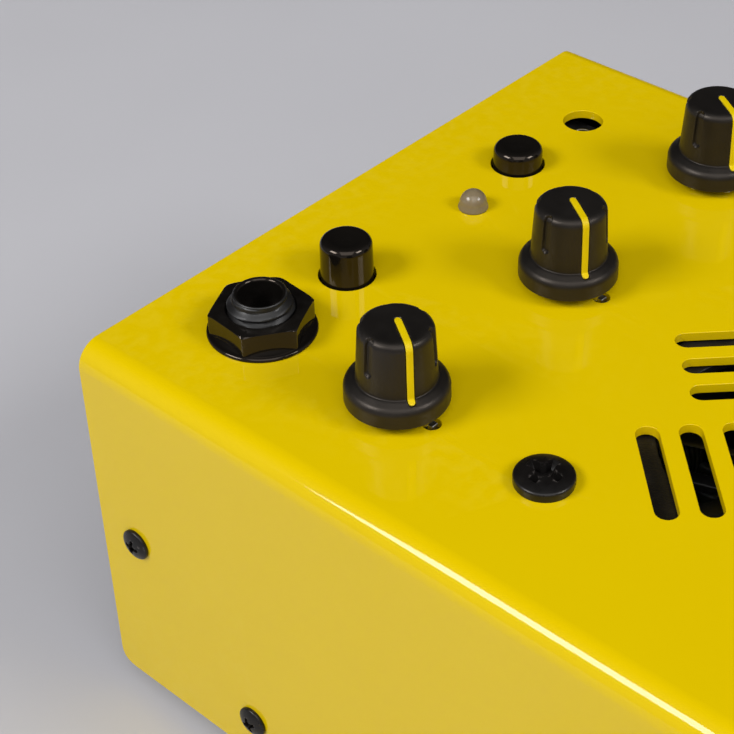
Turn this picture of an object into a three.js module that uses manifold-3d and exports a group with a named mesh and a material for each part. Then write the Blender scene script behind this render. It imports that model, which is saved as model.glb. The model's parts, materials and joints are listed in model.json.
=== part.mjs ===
// A pedal-sized guitar amplifier head, in millimetres, +Z up.
// +X is the player's right, +Y runs from the player to the rear wall with the sockets.
// The origin is on the ground at the middle of the footprint, rear sockets included.
import * as THREE from "three";
import { mergeVertices } from "three/addons/utils/BufferGeometryUtils.js";
import Module from "manifold-3d";

const wasm = await Module();
wasm.setup();

// ---------------------------------------------------------------- driving dimensions

const GAP = 0.3; // clearance between pieces that touch or slide
const SHEET = 1.5; // steel sheet of the cover and the pan

// folded cover
const COVER_WIDTH = 116.6;
const COVER_LENGTH = 180;
const COVER_HEIGHT = 64.5;
const COVER_BEND = 4; // outer radius of the two long bends
const FLANGE_CORNER = 3; // rounding of the flanges' lower corners
const GROUND_GAP = 4.5; // the cover hangs this far above the ground
const TOP = GROUND_GAP + COVER_HEIGHT;

// base pan with its front and rear walls
const WALL_RECESS = 1; // each wall sits this far inside the cover's end
const PAN_BOTTOM = GROUND_GAP + 1;
const RETURN_WIDTH = 13; // the walls' side returns, which the upper side screws bite into
const SIDE_LIP_HEIGHT = 14.5; // the bottom's side lips, for the lower side screws
const PAN_SLOT = { width: 3, pitch: 7 };

// 6.35 mm jacks
const JACK_BORE = 3.2;
const JACK_THREAD = 4.85;
const JACK_TOP_STANDS = 6.5; // bushing above the top panel
const JACK_REAR_STANDS = 4.6; // bushing behind the rear wall
const JACK_BODY = { side: 15.5, depth: 24 };
const NUT = { flange: 8.05, flangeHeight: 1.1, corner: 7.8, top: 4, turn: -95 };

const REAR_PROUD = JACK_REAR_STANDS - WALL_RECESS; // sockets behind the cover's end
const FRONT = -(COVER_LENGTH + REAR_PROUD) / 2;
const BACK = FRONT + COVER_LENGTH;
const REAR_FACE = BACK - WALL_RECESS;
const UNDERSIDE = TOP - SHEET - GAP; // highest level for anything below the top panel

// rows of controls, measured from the cover's rear end
const SOCKET_ROW_Y = BACK - 17.1;
const KNOB_ROW_Y = BACK - 43.15;
const KNOB_SPACING = 37.7;
const JACK_X = -37.66;
const BUTTON_X = [-19.8, 20.7];
const AUX_X = 38.1;
const LED_X = 6.2;
const LED_Y = BACK - 19.85;

// knobs and potentiometers
const KNOB = { skirt: 7.35, bottom: 1.5, skirtTop: 4.1, shoulder: 5.2, base: 5.65, top: 14.05, cap: 5.25 };
const KNOB_CAVITY = { radius: 6.4, top: 3.1 };
const POINTER = { width: 0.95, aside: 0.4, inner: -0.95, depth: 0.8, bottom: 4.6 };
const GROOVE = { width: 1.15, depth: 0.45, bottom: 7.9, top: 13.2 };
const POINTER_ANGLE = 237; // degrees from +X: fully anticlockwise, seven o'clock
const SHAFT_RADIUS = 2.5;
const BUSHING_RADIUS = 3.5;
const POT = { width: 12.5, length: 14, height: 7.5, tabOffset: 6.2, tabHole: 1.3 };
const POT_NUT = { corner: 5.77, height: 1.8 };

// push buttons: the first stands out, the second is latched down
const BUTTON = { radius: 4, hole: 4.35, out: 6.3, latched: 3.3, skirt: 3, stem: 1.6 };
const SWITCH_BODY = { side: 9, top: -7.6 };

const LED = { radius: 2.15, hole: 2.25, stem: 1.95, collar: 2.4, top: 3.1 };
const AUX_HOLE = 3.3;
const AUX_BORE = 1.8;

// vent: four cells of three slots, each cell a quarter turn from the next
const VENT_X = -6.6;
const VENT_Y = BACK - 89.2;
const SLOT = { width: 3.25, length: 18.2, pitch: 5.85, cellAcross: 15.93, cellAlong: 5.53 };
const MODULE_SCREWS = { x: 30.4, y: 21.3 }; // half spacings round the vent's centre
const M4 = { head: 4.15, height: 2.5, shank: 2, length: 6, recess: 2.1 };

// side screws, from each end of the cover and from its top
const SIDE_SCREWS = [
  { fromEnd: 8, fromTop: 33.5 },
  { fromEnd: 31.1, fromTop: 56.2 },
];
const M3 = { head: 2.6, height: 1.4, shank: 1.5, length: 5, recess: 1.2 };

const FOOT = { radius: 7, x: 46, fromEnd: 16 };

// inside
const BOARD = 1.6;
const CONTROL_BOARD_TOP = TOP - 17;
const AMP_BOARD_BOTTOM = PAN_BOTTOM + SHEET + 4;
const AMP_BOARD_TOP = AMP_BOARD_BOTTOM + BOARD;
const FAN = { side: 50, height: 10, bore: 24.2, hub: 10, blades: 7, tip: 23.3, holes: 20 };
const BRACKET = { x: 35, y: 26, opening: 20.5 };

// rear wall
const REAR_Z = 24;
const INLET_X = -34;
const ROCKER_X = -6;
const SPEAKER_X = 18;
const LINE_OUT_X = 42;
const INLET = { flange: [31, 24], body: [26.6, 19.6], cavity: [24.2, 16.2], depth: 21 };
const ROCKER = { flange: [15, 21], body: [13, 19.4], well: [10.8, 17.8], tilt: 10 };

const DEG = Math.PI / 180;
const ROUND = 24; // sides of a visible round piece
const HIDDEN_ROUND = 12; // sides of a hidden or very small one
const ARC = 3; // curve segments of a rounded corner or of a slot's end

// ---------------------------------------------------------------- materials

const material = (color, roughness, metalness) =>
  new THREE.MeshStandardMaterial({ color, roughness, metalness });

const YELLOW_PAINT = material(0xd8bc00, 0.35, 0.1);
const BLACK_PAINT = material(0x17171a, 0.55, 0.1);
const BLACK_SCREW = material(0x141414, 0.3, 0.7);
const GLOSS_BLACK = material(0x0c0c0c, 0.15, 0);
const SATIN_BLACK = material(0x1b1b1b, 0.5, 0);
const KNOB_BLACK = material(0x1e1e1f, 0.6, 0);
const POINTER_YELLOW = material(0xe6cf00, 0.5, 0);
const LED_GREY = material(0xa08c7c, 0.25, 0);
const RUBBER = material(0x191919, 0.9, 0);
const STEEL = material(0xb0b0ae, 0.35, 0.9);
const ALUMINIUM = material(0xc4c6c8, 0.4, 0.9);
const CIRCUIT_GREEN = material(0x1d5a34, 0.5, 0);
const CORE_GREY = material(0x39393c, 0.7, 0.1);
const CABLE_GREY = material(0x2b2b2e, 0.6, 0);
const RIBBON_GREY = material(0x9a9a9c, 0.6, 0);

// ---------------------------------------------------------------- solids

// A closed three.js geometry as a solid that can be joined and cut.
function solid(geometry) {
  const bare = geometry.clone();
  bare.deleteAttribute("normal");
  bare.deleteAttribute("uv");
  const merged = mergeVertices(bare, 1e-4);
  return new wasm.Manifold(
    new wasm.Mesh({
      numProp: 3,
      vertProperties: merged.attributes.position.array,
      triVerts: new Uint32Array(merged.index.array),
    }),
  );
}

const joined = (solids) => solids.reduce((whole, piece) => whole.add(piece));
const cut = (body, tools) => tools.reduce((rest, tool) => rest.subtract(tool), body);

// The box between two corners.
function block([x0, y0, z0], [x1, y1, z1]) {
  const geometry = new THREE.BoxGeometry(x1 - x0, y1 - y0, z1 - z0);
  return solid(geometry.translate((x0 + x1) / 2, (y0 + y1) / 2, (z0 + z1) / 2));
}

// A box centred on the Z axis.
const column = (width, length, low, high) =>
  block([-width / 2, -length / 2, low], [width / 2, length / 2, high]);

// A body of revolution about Z, from [radius, height] points that start and end on the axis, bottom first.
function turned(profile, sides = ROUND) {
  const points = profile.map(([radius, height]) => new THREE.Vector2(radius, height));
  return solid(new THREE.LatheGeometry(points, sides).rotateX(Math.PI / 2));
}

const rod = (radius, low, high, sides = ROUND) =>
  turned([[0, low], [radius, low], [radius, high], [0, high]], sides);

const at = (piece, x, y, z = 0) => piece.translate([x, y, z]);

// A flat outline in X and Y, raised from one height to another.
function raised(shape, low, high, curveSegments = ARC) {
  const depth = high - low;
  const geometry = new THREE.ExtrudeGeometry(shape, { depth, bevelEnabled: false, curveSegments });
  return solid(geometry.translate(0, 0, low));
}

const outline = (points) => new THREE.Shape(points.map(([x, y]) => new THREE.Vector2(x, y)));

// A regular polygon, its first corner at the given angle.
function polygon(corner, sides, turn = 0) {
  const points = [];
  for (let i = 0; i < sides; i++) {
    const angle = turn * DEG + (2 * Math.PI * i) / sides;
    points.push([corner * Math.cos(angle), corner * Math.sin(angle)]);
  }
  return outline(points);
}

// A slot with round ends, along Y.
function slotShape(width, length) {
  const radius = width / 2;
  const straight = length / 2 - radius;
  const shape = new THREE.Shape();
  shape.absarc(0, straight, radius, 0, Math.PI, false);
  shape.absarc(0, -straight, radius, Math.PI, 2 * Math.PI, false);
  return shape;
}

function roundedRectangle(width, length, radius) {
  const x = width / 2 - radius;
  const y = length / 2 - radius;
  const shape = new THREE.Shape();
  shape.absarc(x, y, radius, 0, Math.PI / 2, false);
  shape.absarc(-x, y, radius, Math.PI / 2, Math.PI, false);
  shape.absarc(-x, -y, radius, Math.PI, 1.5 * Math.PI, false);
  shape.absarc(x, -y, radius, 1.5 * Math.PI, 2 * Math.PI, false);
  return shape;
}

// A section carried along a smooth curve through the given points.
function swept(section, points, steps) {
  const path = new THREE.CatmullRomCurve3(points.map((p) => new THREE.Vector3(...p)));
  return new THREE.ExtrudeGeometry(section, { steps, bevelEnabled: false, extrudePath: path });
}

const lead = ({ radius, steps, route }) => swept(polygon(radius, 8), route, steps);

// A named mesh from a solid or a three.js geometry.
function piece(name, shape, look) {
  let geometry = shape;
  if (!shape.isBufferGeometry) {
    const mesh = shape.getMesh();
    geometry = new THREE.BufferGeometry();
    geometry.setAttribute("position", new THREE.BufferAttribute(mesh.vertProperties, 3));
    geometry.setIndex(new THREE.BufferAttribute(mesh.triVerts, 1));
    geometry.computeVertexNormals();
  }
  const made = new THREE.Mesh(geometry, look);
  made.name = name;
  return made;
}

function assembly(x, y, z, ...children) {
  const made = new THREE.Group();
  made.position.set(x, y, z);
  made.add(...children);
  return made;
}

// The same, with its own +Z pointing out of the rear wall.
function rearAssembly(x, z, ...children) {
  const made = assembly(x, REAR_FACE, z, ...children);
  made.rotation.x = -Math.PI / 2;
  return made;
}

// ---------------------------------------------------------------- cover and pan

const KNOB_X = [-KNOB_SPACING, 0, KNOB_SPACING];
const ENDS = [
  { y: FRONT, inward: 1, name: "front" },
  { y: BACK, inward: -1, name: "rear" },
];
const SIDES = [
  { x: -1, name: "left" },
  { x: 1, name: "right" },
];

// The four corners of a rectangle, from its half sizes.
const corners = (x, y) => [[-x, -y], [-x, y], [x, -y], [x, y]];

const moduleScrewPlaces = () =>
  corners(MODULE_SCREWS.x, MODULE_SCREWS.y).map(([x, y]) => [VENT_X + x, VENT_Y + y]);

const sideScrewPlaces = () =>
  SIDES.flatMap((side) =>
    ENDS.flatMap((end) =>
      SIDE_SCREWS.map((screw, i) => ({
        name: `side_screw_${side.name}_${end.name}_${i + 1}`,
        side: side.x,
        y: end.y + end.inward * screw.fromEnd,
        z: TOP - screw.fromTop,
      })),
    ),
  );

// Rods along X through both flanges at every side screw.
const sideHoles = (radius) =>
  sideScrewPlaces()
    .filter((place) => place.side === 1)
    .map(({ y, z }) => rod(radius, -COVER_WIDTH, COVER_WIDTH, 8).rotate([0, 90, 0]).translate([0, y, z]));

// The upside-down U of the cover, seen from the front.
function coverSection() {
  const half = COVER_WIDTH / 2;
  const bend = half - COVER_BEND;
  const level = TOP - COVER_BEND;
  const inner = COVER_BEND - SHEET;
  const shape = new THREE.Shape();
  shape.moveTo(-half, GROUND_GAP);
  shape.lineTo(-half + SHEET, GROUND_GAP);
  shape.absarc(-bend, level, inner, Math.PI, Math.PI / 2, true);
  shape.absarc(bend, level, inner, Math.PI / 2, 0, true);
  shape.lineTo(half - SHEET, GROUND_GAP);
  shape.lineTo(half, GROUND_GAP);
  shape.absarc(bend, level, COVER_BEND, 0, Math.PI / 2, false);
  shape.absarc(-bend, level, COVER_BEND, Math.PI / 2, Math.PI, false);
  return shape;
}

// What the rounding takes off a flange's lower corner, through both flanges.
function cornerTool(end) {
  const shape = new THREE.Shape();
  shape.moveTo(-1, -1);
  shape.lineTo(FLANGE_CORNER, -1);
  shape.lineTo(FLANGE_CORNER, 0);
  shape.absarc(FLANGE_CORNER, FLANGE_CORNER, FLANGE_CORNER, -Math.PI / 2, -Math.PI, true);
  shape.lineTo(-1, FLANGE_CORNER);
  const tool = raised(shape, -COVER_WIDTH, COVER_WIDTH).rotate([90, 0, 90]);
  const turnedIn = end.inward > 0 ? tool : tool.rotate([0, 0, 180]);
  return at(turnedIn, 0, end.y, GROUND_GAP);
}

function ventSlots() {
  const slots = [];
  for (let quarter = 0; quarter < 4; quarter++)
    for (const row of [-1, 0, 1]) {
      const slot = raised(slotShape(SLOT.width, SLOT.length), TOP - 2 * SHEET, TOP + SHEET);
      const inCell = at(slot, -SLOT.cellAcross + row * SLOT.pitch, -SLOT.cellAlong);
      slots.push(at(inCell.rotate([0, 0, 45 + 90 * quarter]), VENT_X, VENT_Y));
    }
  return slots;
}

function topCover() {
  const hole = (radius, x, y, sides = ROUND) => at(rod(radius, TOP - 2 * SHEET, TOP + 1, sides), x, y);
  const sheet = at(raised(coverSection(), 0, COVER_LENGTH, 4).rotate([90, 0, 0]), 0, BACK);
  const holes = [
    hole(JACK_THREAD + GAP, JACK_X, SOCKET_ROW_Y),
    ...BUTTON_X.map((x) => hole(BUTTON.hole, x, SOCKET_ROW_Y)),
    hole(LED.hole, LED_X, LED_Y),
    hole(AUX_HOLE, AUX_X, SOCKET_ROW_Y),
    ...KNOB_X.map((x) => hole(BUSHING_RADIUS + GAP, x, KNOB_ROW_Y, HIDDEN_ROUND)),
    ...KNOB_X.map((x) => hole(POT.tabHole, x, KNOB_ROW_Y - POT.tabOffset, HIDDEN_ROUND)),
    ...moduleScrewPlaces().map(([x, y]) => hole(M4.shank + GAP, x, y, HIDDEN_ROUND)),
  ];
  return cut(sheet, [...holes, ...ventSlots(), ...ENDS.map(cornerTool), ...sideHoles(M3.shank + GAP)]);
}

// A wall of the pan: a sheet across the box whose top corners clear the cover's bends.
function endWall(end) {
  const half = COVER_WIDTH / 2 - SHEET - GAP;
  const corner = COVER_BEND - SHEET + GAP;
  const shape = new THREE.Shape();
  shape.moveTo(-half, PAN_BOTTOM);
  shape.lineTo(half, PAN_BOTTOM);
  shape.absarc(half - corner, UNDERSIDE - corner, corner, 0, Math.PI / 2, false);
  shape.absarc(-half + corner, UNDERSIDE - corner, corner, Math.PI / 2, Math.PI, false);
  const wall = raised(shape, 0, SHEET).rotate([90, 0, 0]);
  return at(wall, 0, end.y + end.inward * WALL_RECESS + (end.inward > 0 ? SHEET : 0));
}

function basePan() {
  const half = COVER_WIDTH / 2 - SHEET - GAP;
  const floorTop = PAN_BOTTOM + SHEET;
  const wallTop = UNDERSIDE - COVER_BEND;
  const front = FRONT + WALL_RECESS;
  const sheets = [block([-half, front, PAN_BOTTOM], [half, REAR_FACE, floorTop]), ...ENDS.map(endWall)];
  for (const side of SIDES) {
    const x = [side.x * half, side.x * (half - SHEET)].sort((a, b) => a - b);
    const lip = WALL_RECESS + RETURN_WIDTH + 2;
    const lipTop = PAN_BOTTOM + SIDE_LIP_HEIGHT;
    sheets.push(block([x[0], FRONT + lip, PAN_BOTTOM], [x[1], BACK - lip, lipTop]));
    for (const end of ENDS) {
      const y = [end.y + end.inward * WALL_RECESS, end.y + end.inward * (WALL_RECESS + RETURN_WIDTH)];
      y.sort((a, b) => a - b);
      sheets.push(block([x[0], y[0], PAN_BOTTOM], [x[1], y[1], wallTop]));
    }
  }
  const post = rod(3, PAN_BOTTOM, AMP_BOARD_BOTTOM - GAP, HIDDEN_ROUND);
  sheets.push(...ampBoardCorners().map(([x, y]) => at(post, x, y)));
  return cut(joined(sheets), [...wallOpenings(), ...sideHoles(M3.shank + GAP)]);
}

// Cut-outs for the rear sockets, exhaust slots in the front wall and slots under the heat sink.
function wallOpenings() {
  const through = (tool, x) => at(tool.rotate([-90, 0, 0]), x, REAR_FACE, REAR_Z);
  const window = ({ body: [width, height] }) =>
    column(width + 2 * GAP, height + 2 * GAP, -2 * SHEET, SHEET);
  const openings = [
    through(window(INLET), INLET_X),
    through(window(ROCKER), ROCKER_X),
    ...[SPEAKER_X, LINE_OUT_X].map((x) => through(rod(JACK_THREAD + GAP, -2 * SHEET, SHEET), x)),
  ];
  const exhaust = raised(slotShape(PAN_SLOT.width, 26), -SHEET, 2 * SHEET, 2).rotate([90, 0, 0]);
  for (let i = -6; i <= 6; i++)
    openings.push(at(exhaust, PAN_SLOT.pitch * i, FRONT + WALL_RECESS + SHEET, 34));
  const intake = raised(slotShape(PAN_SLOT.width, 36), PAN_BOTTOM - 1, PAN_BOTTOM + 2 * SHEET, 2);
  for (let i = -3; i <= 3; i++) openings.push(at(intake, VENT_X + PAN_SLOT.pitch * i, VENT_Y));
  return openings;
}

function foot() {
  const { radius } = FOOT;
  const top = PAN_BOTTOM - GAP;
  return turned([[0, 0], [radius - 1, 0], [radius, 1], [radius - 0.5, top], [0, top]], 20);
}

// ---------------------------------------------------------------- fasteners

// A domed screw with a cross recess: head up, its bearing face at z = GAP.
function screw({ head, height, shank, length, recess }, sides) {
  const profile = [
    [0, -length], [shank, -length], [shank, GAP], [head, GAP], [head, 0.35 * height],
    [0.86 * head, 0.72 * height], [0.5 * head, 0.95 * height], [0, height],
  ];
  const arm = (turn) => column(2 * recess, recess * 0.42, height * 0.45, height + 1).rotate([0, 0, turn]);
  return cut(turned(profile, sides), [arm(0), arm(90)]);
}

function moduleScrews() {
  return moduleScrewPlaces().map(([x, y], i) => {
    const made = piece(`module_screw_${i + 1}`, screw(M4, 16), BLACK_SCREW);
    made.position.set(x, y, TOP);
    return made;
  });
}

function sideScrews() {
  return sideScrewPlaces().map(({ name, side, y, z }) => {
    const made = piece(name, screw(M3, 10), BLACK_SCREW);
    made.position.set((side * COVER_WIDTH) / 2, y, z);
    made.rotation.y = (side * Math.PI) / 2;
    return made;
  });
}

// ---------------------------------------------------------------- jacks

// A closed-body jack: z = 0 is the panel's outer face, the bushing stands out of it.
function jackBody(stands) {
  const shoulder = -SHEET - GAP;
  const bushing = turned([
    [0, shoulder - 1], [JACK_THREAD, shoulder - 1], [JACK_THREAD, stands - 1.2],
    [4.3, stands - 0.5], [3.85, stands], [0, stands],
  ]);
  const body = column(JACK_BODY.side, JACK_BODY.side, shoulder - JACK_BODY.depth, shoulder);
  return cut(body.add(bushing), [rod(JACK_BORE, shoulder - JACK_BODY.depth + 2, stands + 1)]);
}

// A hexagonal nut with a conical flange.
function jackNut() {
  const { flange, flangeHeight, corner, top, turn } = NUT;
  const coneTop = flangeHeight + 0.3;
  const cone = turned([[0, GAP], [flange, GAP], [flange, 0.7], [corner - 0.8, coneTop], [0, coneTop]]);
  const wide = corner + 0.1;
  const crown = turned([[0, 0], [wide, 0], [wide, top - 0.5], [corner - 0.8, top], [0, top]]);
  const hexagon = raised(polygon(corner, 6, turn), flangeHeight - 0.6, top).intersect(crown);
  return cut(cone.add(hexagon), [rod(JACK_THREAD + GAP, -1, top + 1)]);
}

const jack = (name, stands) => [
  piece(`${name}_jack_body`, jackBody(stands), SATIN_BLACK),
  piece(`${name}_jack_nut`, jackNut(), GLOSS_BLACK),
];

// ---------------------------------------------------------------- buttons, light and small socket

// A button cap on its stem; z = 0 is the top panel.
function buttonCap(stands) {
  const { radius, skirt, stem } = BUTTON;
  const stemEnd = stands - BUTTON.out + SWITCH_BODY.top - 2.4;
  const low = stands - BUTTON.out - skirt;
  return turned([
    [0, stemEnd], [stem, stemEnd], [stem, low], [radius, low], [radius, stands - 0.5],
    [radius - 0.5, stands], [0, stands - 0.3],
  ], 20);
}

function switchBody() {
  const floor = CONTROL_BOARD_TOP - TOP + GAP;
  const body = column(SWITCH_BODY.side, SWITCH_BODY.side, floor, SWITCH_BODY.top);
  return cut(body, [rod(BUTTON.stem + GAP, floor + 2, SWITCH_BODY.top + 1, 12)]);
}

function button(index, stands) {
  return assembly(
    BUTTON_X[index], SOCKET_ROW_Y, TOP,
    piece(`button_cap_${index + 1}`, buttonCap(stands), GLOSS_BLACK),
    piece(`button_switch_${index + 1}`, switchBody(), SATIN_BLACK),
  );
}

// A light with a collar on the panel, and two legs that reach the control board.
function statusLed() {
  const { radius, stem, collar, top } = LED;
  const springing = top - radius;
  const profile = [[0, -4.5], [stem, -4.5], [stem, GAP], [collar, GAP], [collar, GAP + 0.4]];
  for (let angle = 0; angle < 90; angle += 22.5)
    profile.push([radius * Math.cos(angle * DEG), springing + radius * Math.sin(angle * DEG)]);
  const leg = (x) => at(column(0.6, 0.6, CONTROL_BOARD_TOP - TOP + GAP, -4), x, 0);
  return joined([turned([...profile, [0, top]], 16), leg(-1.27), leg(1.27)]);
}

// A 3.5 mm socket, recessed under its hole.
function auxSocket() {
  const floor = CONTROL_BOARD_TOP - TOP + GAP;
  const body = column(9, 11, floor, -SHEET - 1.5);
  const collar = rod(AUX_HOLE - 0.5, -SHEET - 2, -SHEET - GAP, 20);
  return cut(body.add(collar), [rod(AUX_BORE, floor + 1, 1, HIDDEN_ROUND)]);
}

// ---------------------------------------------------------------- knobs and potentiometers

// The pointer lies in a pocket along the cap's top and down its side to the skirt. Both outlines are in
// a plane beside the knob's axis and are raised to the width.
function pointerSeat(grow) {
  const { inner, depth, bottom } = POINTER;
  const sunk = depth + grow;
  const level = KNOB.top - sunk;
  return [[inner - grow, level], [KNOB.cap - sunk, level], [KNOB.base - sunk, bottom - grow]];
}

const upright = (points, width) =>
  at(raised(outline(points), -width / 2, width / 2).rotate([90, 0, 0]), 0, POINTER.aside);

function pointerStrip() {
  const { cap, base, top, shoulder } = KNOB;
  const face = [
    [base + 0.2, POINTER.bottom], [base + 0.02, shoulder], [cap + 0.02, top - 0.9],
    [cap - 0.28, top - 0.25], [cap - 0.95, top + 0.02], [POINTER.inner, top + 0.02],
  ];
  return upright([...pointerSeat(0), ...face], POINTER.width);
}

function pointerPocket() {
  const far = KNOB.skirt + 1;
  const margin = 0.15;
  const low = POINTER.bottom - margin;
  const face = [[far, low], [far, KNOB.top + 1], [POINTER.inner - margin, KNOB.top + 1]];
  return upright([...pointerSeat(margin), ...face], POINTER.width + 2 * margin);
}

// A skirted knob with five grooves and a sixth, longer one for the pointer.
function knobCap() {
  const { skirt, bottom, skirtTop, shoulder, base, top, cap } = KNOB;
  const body = turned([
    [0, bottom], [skirt - 0.4, bottom], [skirt, bottom + 0.4], [skirt, skirtTop - 0.5],
    [skirt - 0.35, skirtTop + 0.3], [base + 0.2, shoulder - 0.1], [base, shoulder + 0.1],
    [cap, top - 0.9], [cap - 0.3, top - 0.25], [cap - 0.95, top], [0, top],
  ]);
  const groove = (turn) => {
    const { width, depth, bottom: low, top: high } = GROOVE;
    const cutter = raised(slotShape(width, high - low), 0, 3, 2).rotate([90, 0, 90]);
    const lean = Math.atan2(base - cap, top - shoulder) / DEG;
    const leaning = at(cutter.rotate([0, -lean, 0]), (base + cap) / 2 - depth, 0, (low + high) / 2);
    return leaning.rotate([0, 0, turn]);
  };
  const grooves = [1, 2, 3, 4, 5].map((i) => groove(60 * i));
  const bore = rod(SHAFT_RADIUS + GAP, 0, top - 2.6, HIDDEN_ROUND);
  const cavity = rod(KNOB_CAVITY.radius, 0, KNOB_CAVITY.top, 20);
  return cut(body, [...grooves, bore, cavity, pointerPocket()]);
}

function potNut() {
  const hexagon = raised(polygon(POT_NUT.corner, 6), GAP, GAP + POT_NUT.height);
  return hexagon.subtract(rod(BUSHING_RADIUS + GAP, 0, 4, HIDDEN_ROUND));
}

// A potentiometer under the panel: housing, bushing through the panel, locating tab and three legs.
function potBody() {
  const high = -SHEET - GAP;
  const low = high - POT.height;
  const solids = [
    column(POT.width, POT.length, low, high),
    rod(BUSHING_RADIUS, high - 1, KNOB_CAVITY.top - 0.6, HIDDEN_ROUND),
    at(column(1.2, 1, high - 1, 0.1), 0, -POT.tabOffset - 0.2),
    ...[-4, 0, 4].map((x) => at(column(0.8, 0.5, CONTROL_BOARD_TOP - TOP + GAP, low + 1), x, -5)),
  ];
  return cut(joined(solids), [rod(SHAFT_RADIUS + GAP, low + 1.5, 5, HIDDEN_ROUND)]);
}

const potShaft = () => rod(SHAFT_RADIUS, -SHEET - POT.height + 1.8, KNOB.top - 2.9, HIDDEN_ROUND);

function control(index) {
  const number = index + 1;
  const turning = assembly(
    0, 0, 0,
    piece(`knob_${number}`, knobCap(), KNOB_BLACK),
    piece(`knob_pointer_${number}`, pointerStrip(), POINTER_YELLOW),
    piece(`pot_shaft_${number}`, potShaft(), ALUMINIUM),
  );
  turning.rotation.z = POINTER_ANGLE * DEG;
  return assembly(
    KNOB_X[index], KNOB_ROW_Y, TOP,
    turning,
    piece(`pot_body_${number}`, potBody(), STEEL),
    piece(`pot_nut_${number}`, potNut(), STEEL),
  );
}

// ---------------------------------------------------------------- inside

function controlBoard() {
  const low = CONTROL_BOARD_TOP - BOARD;
  const board = block([-52, KNOB_ROW_Y - 13, low], [52, SOCKET_ROW_Y + 10, CONTROL_BOARD_TOP]);
  const half = JACK_BODY.side / 2 + 1;
  const nearCorner = [JACK_X - half, SOCKET_ROW_Y - half, low - 1];
  return board.subtract(block(nearCorner, [JACK_X + half, BACK, CONTROL_BOARD_TOP + 1]));
}

const ampBoardCorners = () =>
  [-1, 1].flatMap((x) => [FRONT + 18, 46].map((y) => [46 * x, y]));

const ampBoard = () =>
  cut(
    block([-50, FRONT + 12, AMP_BOARD_BOTTOM], [50, 51, AMP_BOARD_TOP]),
    ampBoardCorners().map(([x, y]) => at(rod(1.6, AMP_BOARD_BOTTOM - 1, AMP_BOARD_TOP + 1, 12), x, y)),
  );

function heatSink() {
  const low = AMP_BOARD_TOP + GAP;
  const fins = [];
  for (let i = -4; i <= 4; i++) fins.push(block([5 * i - 0.8, -25, low + 3], [5 * i + 0.8, 25, low + 27]));
  return joined([block([-22, -25, low], [22, 25, low + 4]), ...fins]);
}

// A ferrite-cored transformer: a core that closes round the winding's bobbin.
function transformer() {
  const low = AMP_BOARD_TOP + GAP;
  const core = column(28, 11, low + 1, low + 23);
  const bobbin = column(20, 24, low, low + 19);
  return joined([core, bobbin, column(16, 28, low + 4, low + 15)]);
}

const capacitor = () =>
  turned([
    [0, 0], [8.4, 0], [9, 0.8], [9, 28], [8.5, 29], [0, 29],
  ], 18);

const fanPlaces = () => corners(FAN.holes, FAN.holes);

// The fan's square frame, its motor plate held by four arms at the bottom.
function fanFrame() {
  const { side, height, bore, hub } = FAN;
  const ring = cut(raised(roundedRectangle(side, side, 3), -height, 0), [
    rod(bore, -height - 1, 1, 32),
    ...fanPlaces().map(([x, y]) => at(rod(1.7, -height - 1, 1, 8), x, y)),
  ]);
  const arm = column(2 * bore + 1, 2.5, -height, -height + 1.5);
  const motorPlate = rod(hub, -height, -height + 1.5, 16);
  return joined([ring, arm.rotate([0, 0, 20]), arm.rotate([0, 0, 110]), motorPlate]);
}

// The fan's rotor: a hub with pitched blades, trimmed to a round tip.
function fanRotor() {
  const low = -FAN.height + 1.5 + 0.5;
  const hub = rod(FAN.hub, low, -1, 20);
  const blades = [];
  for (let i = 0; i < FAN.blades; i++) {
    const blade = block([FAN.hub - 1.5, -5, -0.5], [FAN.tip + 2, 5, 0.5]).rotate([35, 0, 0]);
    blades.push(at(blade, 0, 0, (low - 1) / 2).rotate([0, 0, (360 * i) / FAN.blades]));
  }
  return joined([hub, joined(blades).intersect(rod(FAN.tip, low, -1, 32))]);
}

const fanBracket = () =>
  cut(raised(roundedRectangle(2 * BRACKET.x, 2 * BRACKET.y, 3), -SHEET, 0), [
    rod(BRACKET.opening, -5, 1, 32),
    ...fanPlaces().map(([x, y]) => at(rod(1.7, -5, 1, 8), x, y)),
    ...corners(MODULE_SCREWS.x, MODULE_SCREWS.y).map(([x, y]) => at(rod(M4.shank + GAP, -5, 1, 8), x, y)),
  ]);

function fanModule() {
  const belowBracket = -SHEET - GAP;
  const frame = piece("fan_frame", fanFrame(), SATIN_BLACK);
  frame.position.z = belowBracket;
  const rotor = piece("fan_rotor", fanRotor(), SATIN_BLACK);
  rotor.position.z = belowBracket;
  return assembly(VENT_X, VENT_Y, UNDERSIDE, piece("fan_bracket", fanBracket(), BLACK_PAINT), frame, rotor);
}

// ---------------------------------------------------------------- rear fittings

// A three-pin mains inlet: z = 0 is the wall's outer face.
function mainsInlet() {
  const { flange, body, depth } = INLET;
  const face = 2.6;
  const floor = 6 - depth;
  const [x, y] = INLET.cavity.map((size) => size / 2);
  const cavity = outline([[-x, -y], [x, -y], [x, y - 4], [x - 4, y], [4 - x, y], [-x, y - 4]]);
  const shell = raised(roundedRectangle(...flange, 3), GAP, face).add(column(...body, -depth, 1));
  const hollow = shell.subtract(raised(cavity, floor, face + 1));
  const blades = [-1, 0, 1].map((i) => at(column(2, 4, floor - 1, -2.8), 7 * i, i ? 2 : -2));
  const tabs = [-1, 0, 1].map((i) => at(column(0.9, 6.3, -depth - 7, -depth + 1), 7 * i, 0));
  return joined([hollow, ...blades, ...tabs]);
}

function powerSwitchBody() {
  const { flange, body, well } = ROCKER;
  const frame = raised(roundedRectangle(...flange, 1.5), GAP, 2.2);
  const shell = frame.add(column(...body, -14, 1)).subtract(column(...well, -7, 4));
  const tabs = [-5, 5].map((y) => at(column(4.8, 0.9, -20, -13), 0, y));
  return joined([shell, ...tabs]);
}

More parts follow.
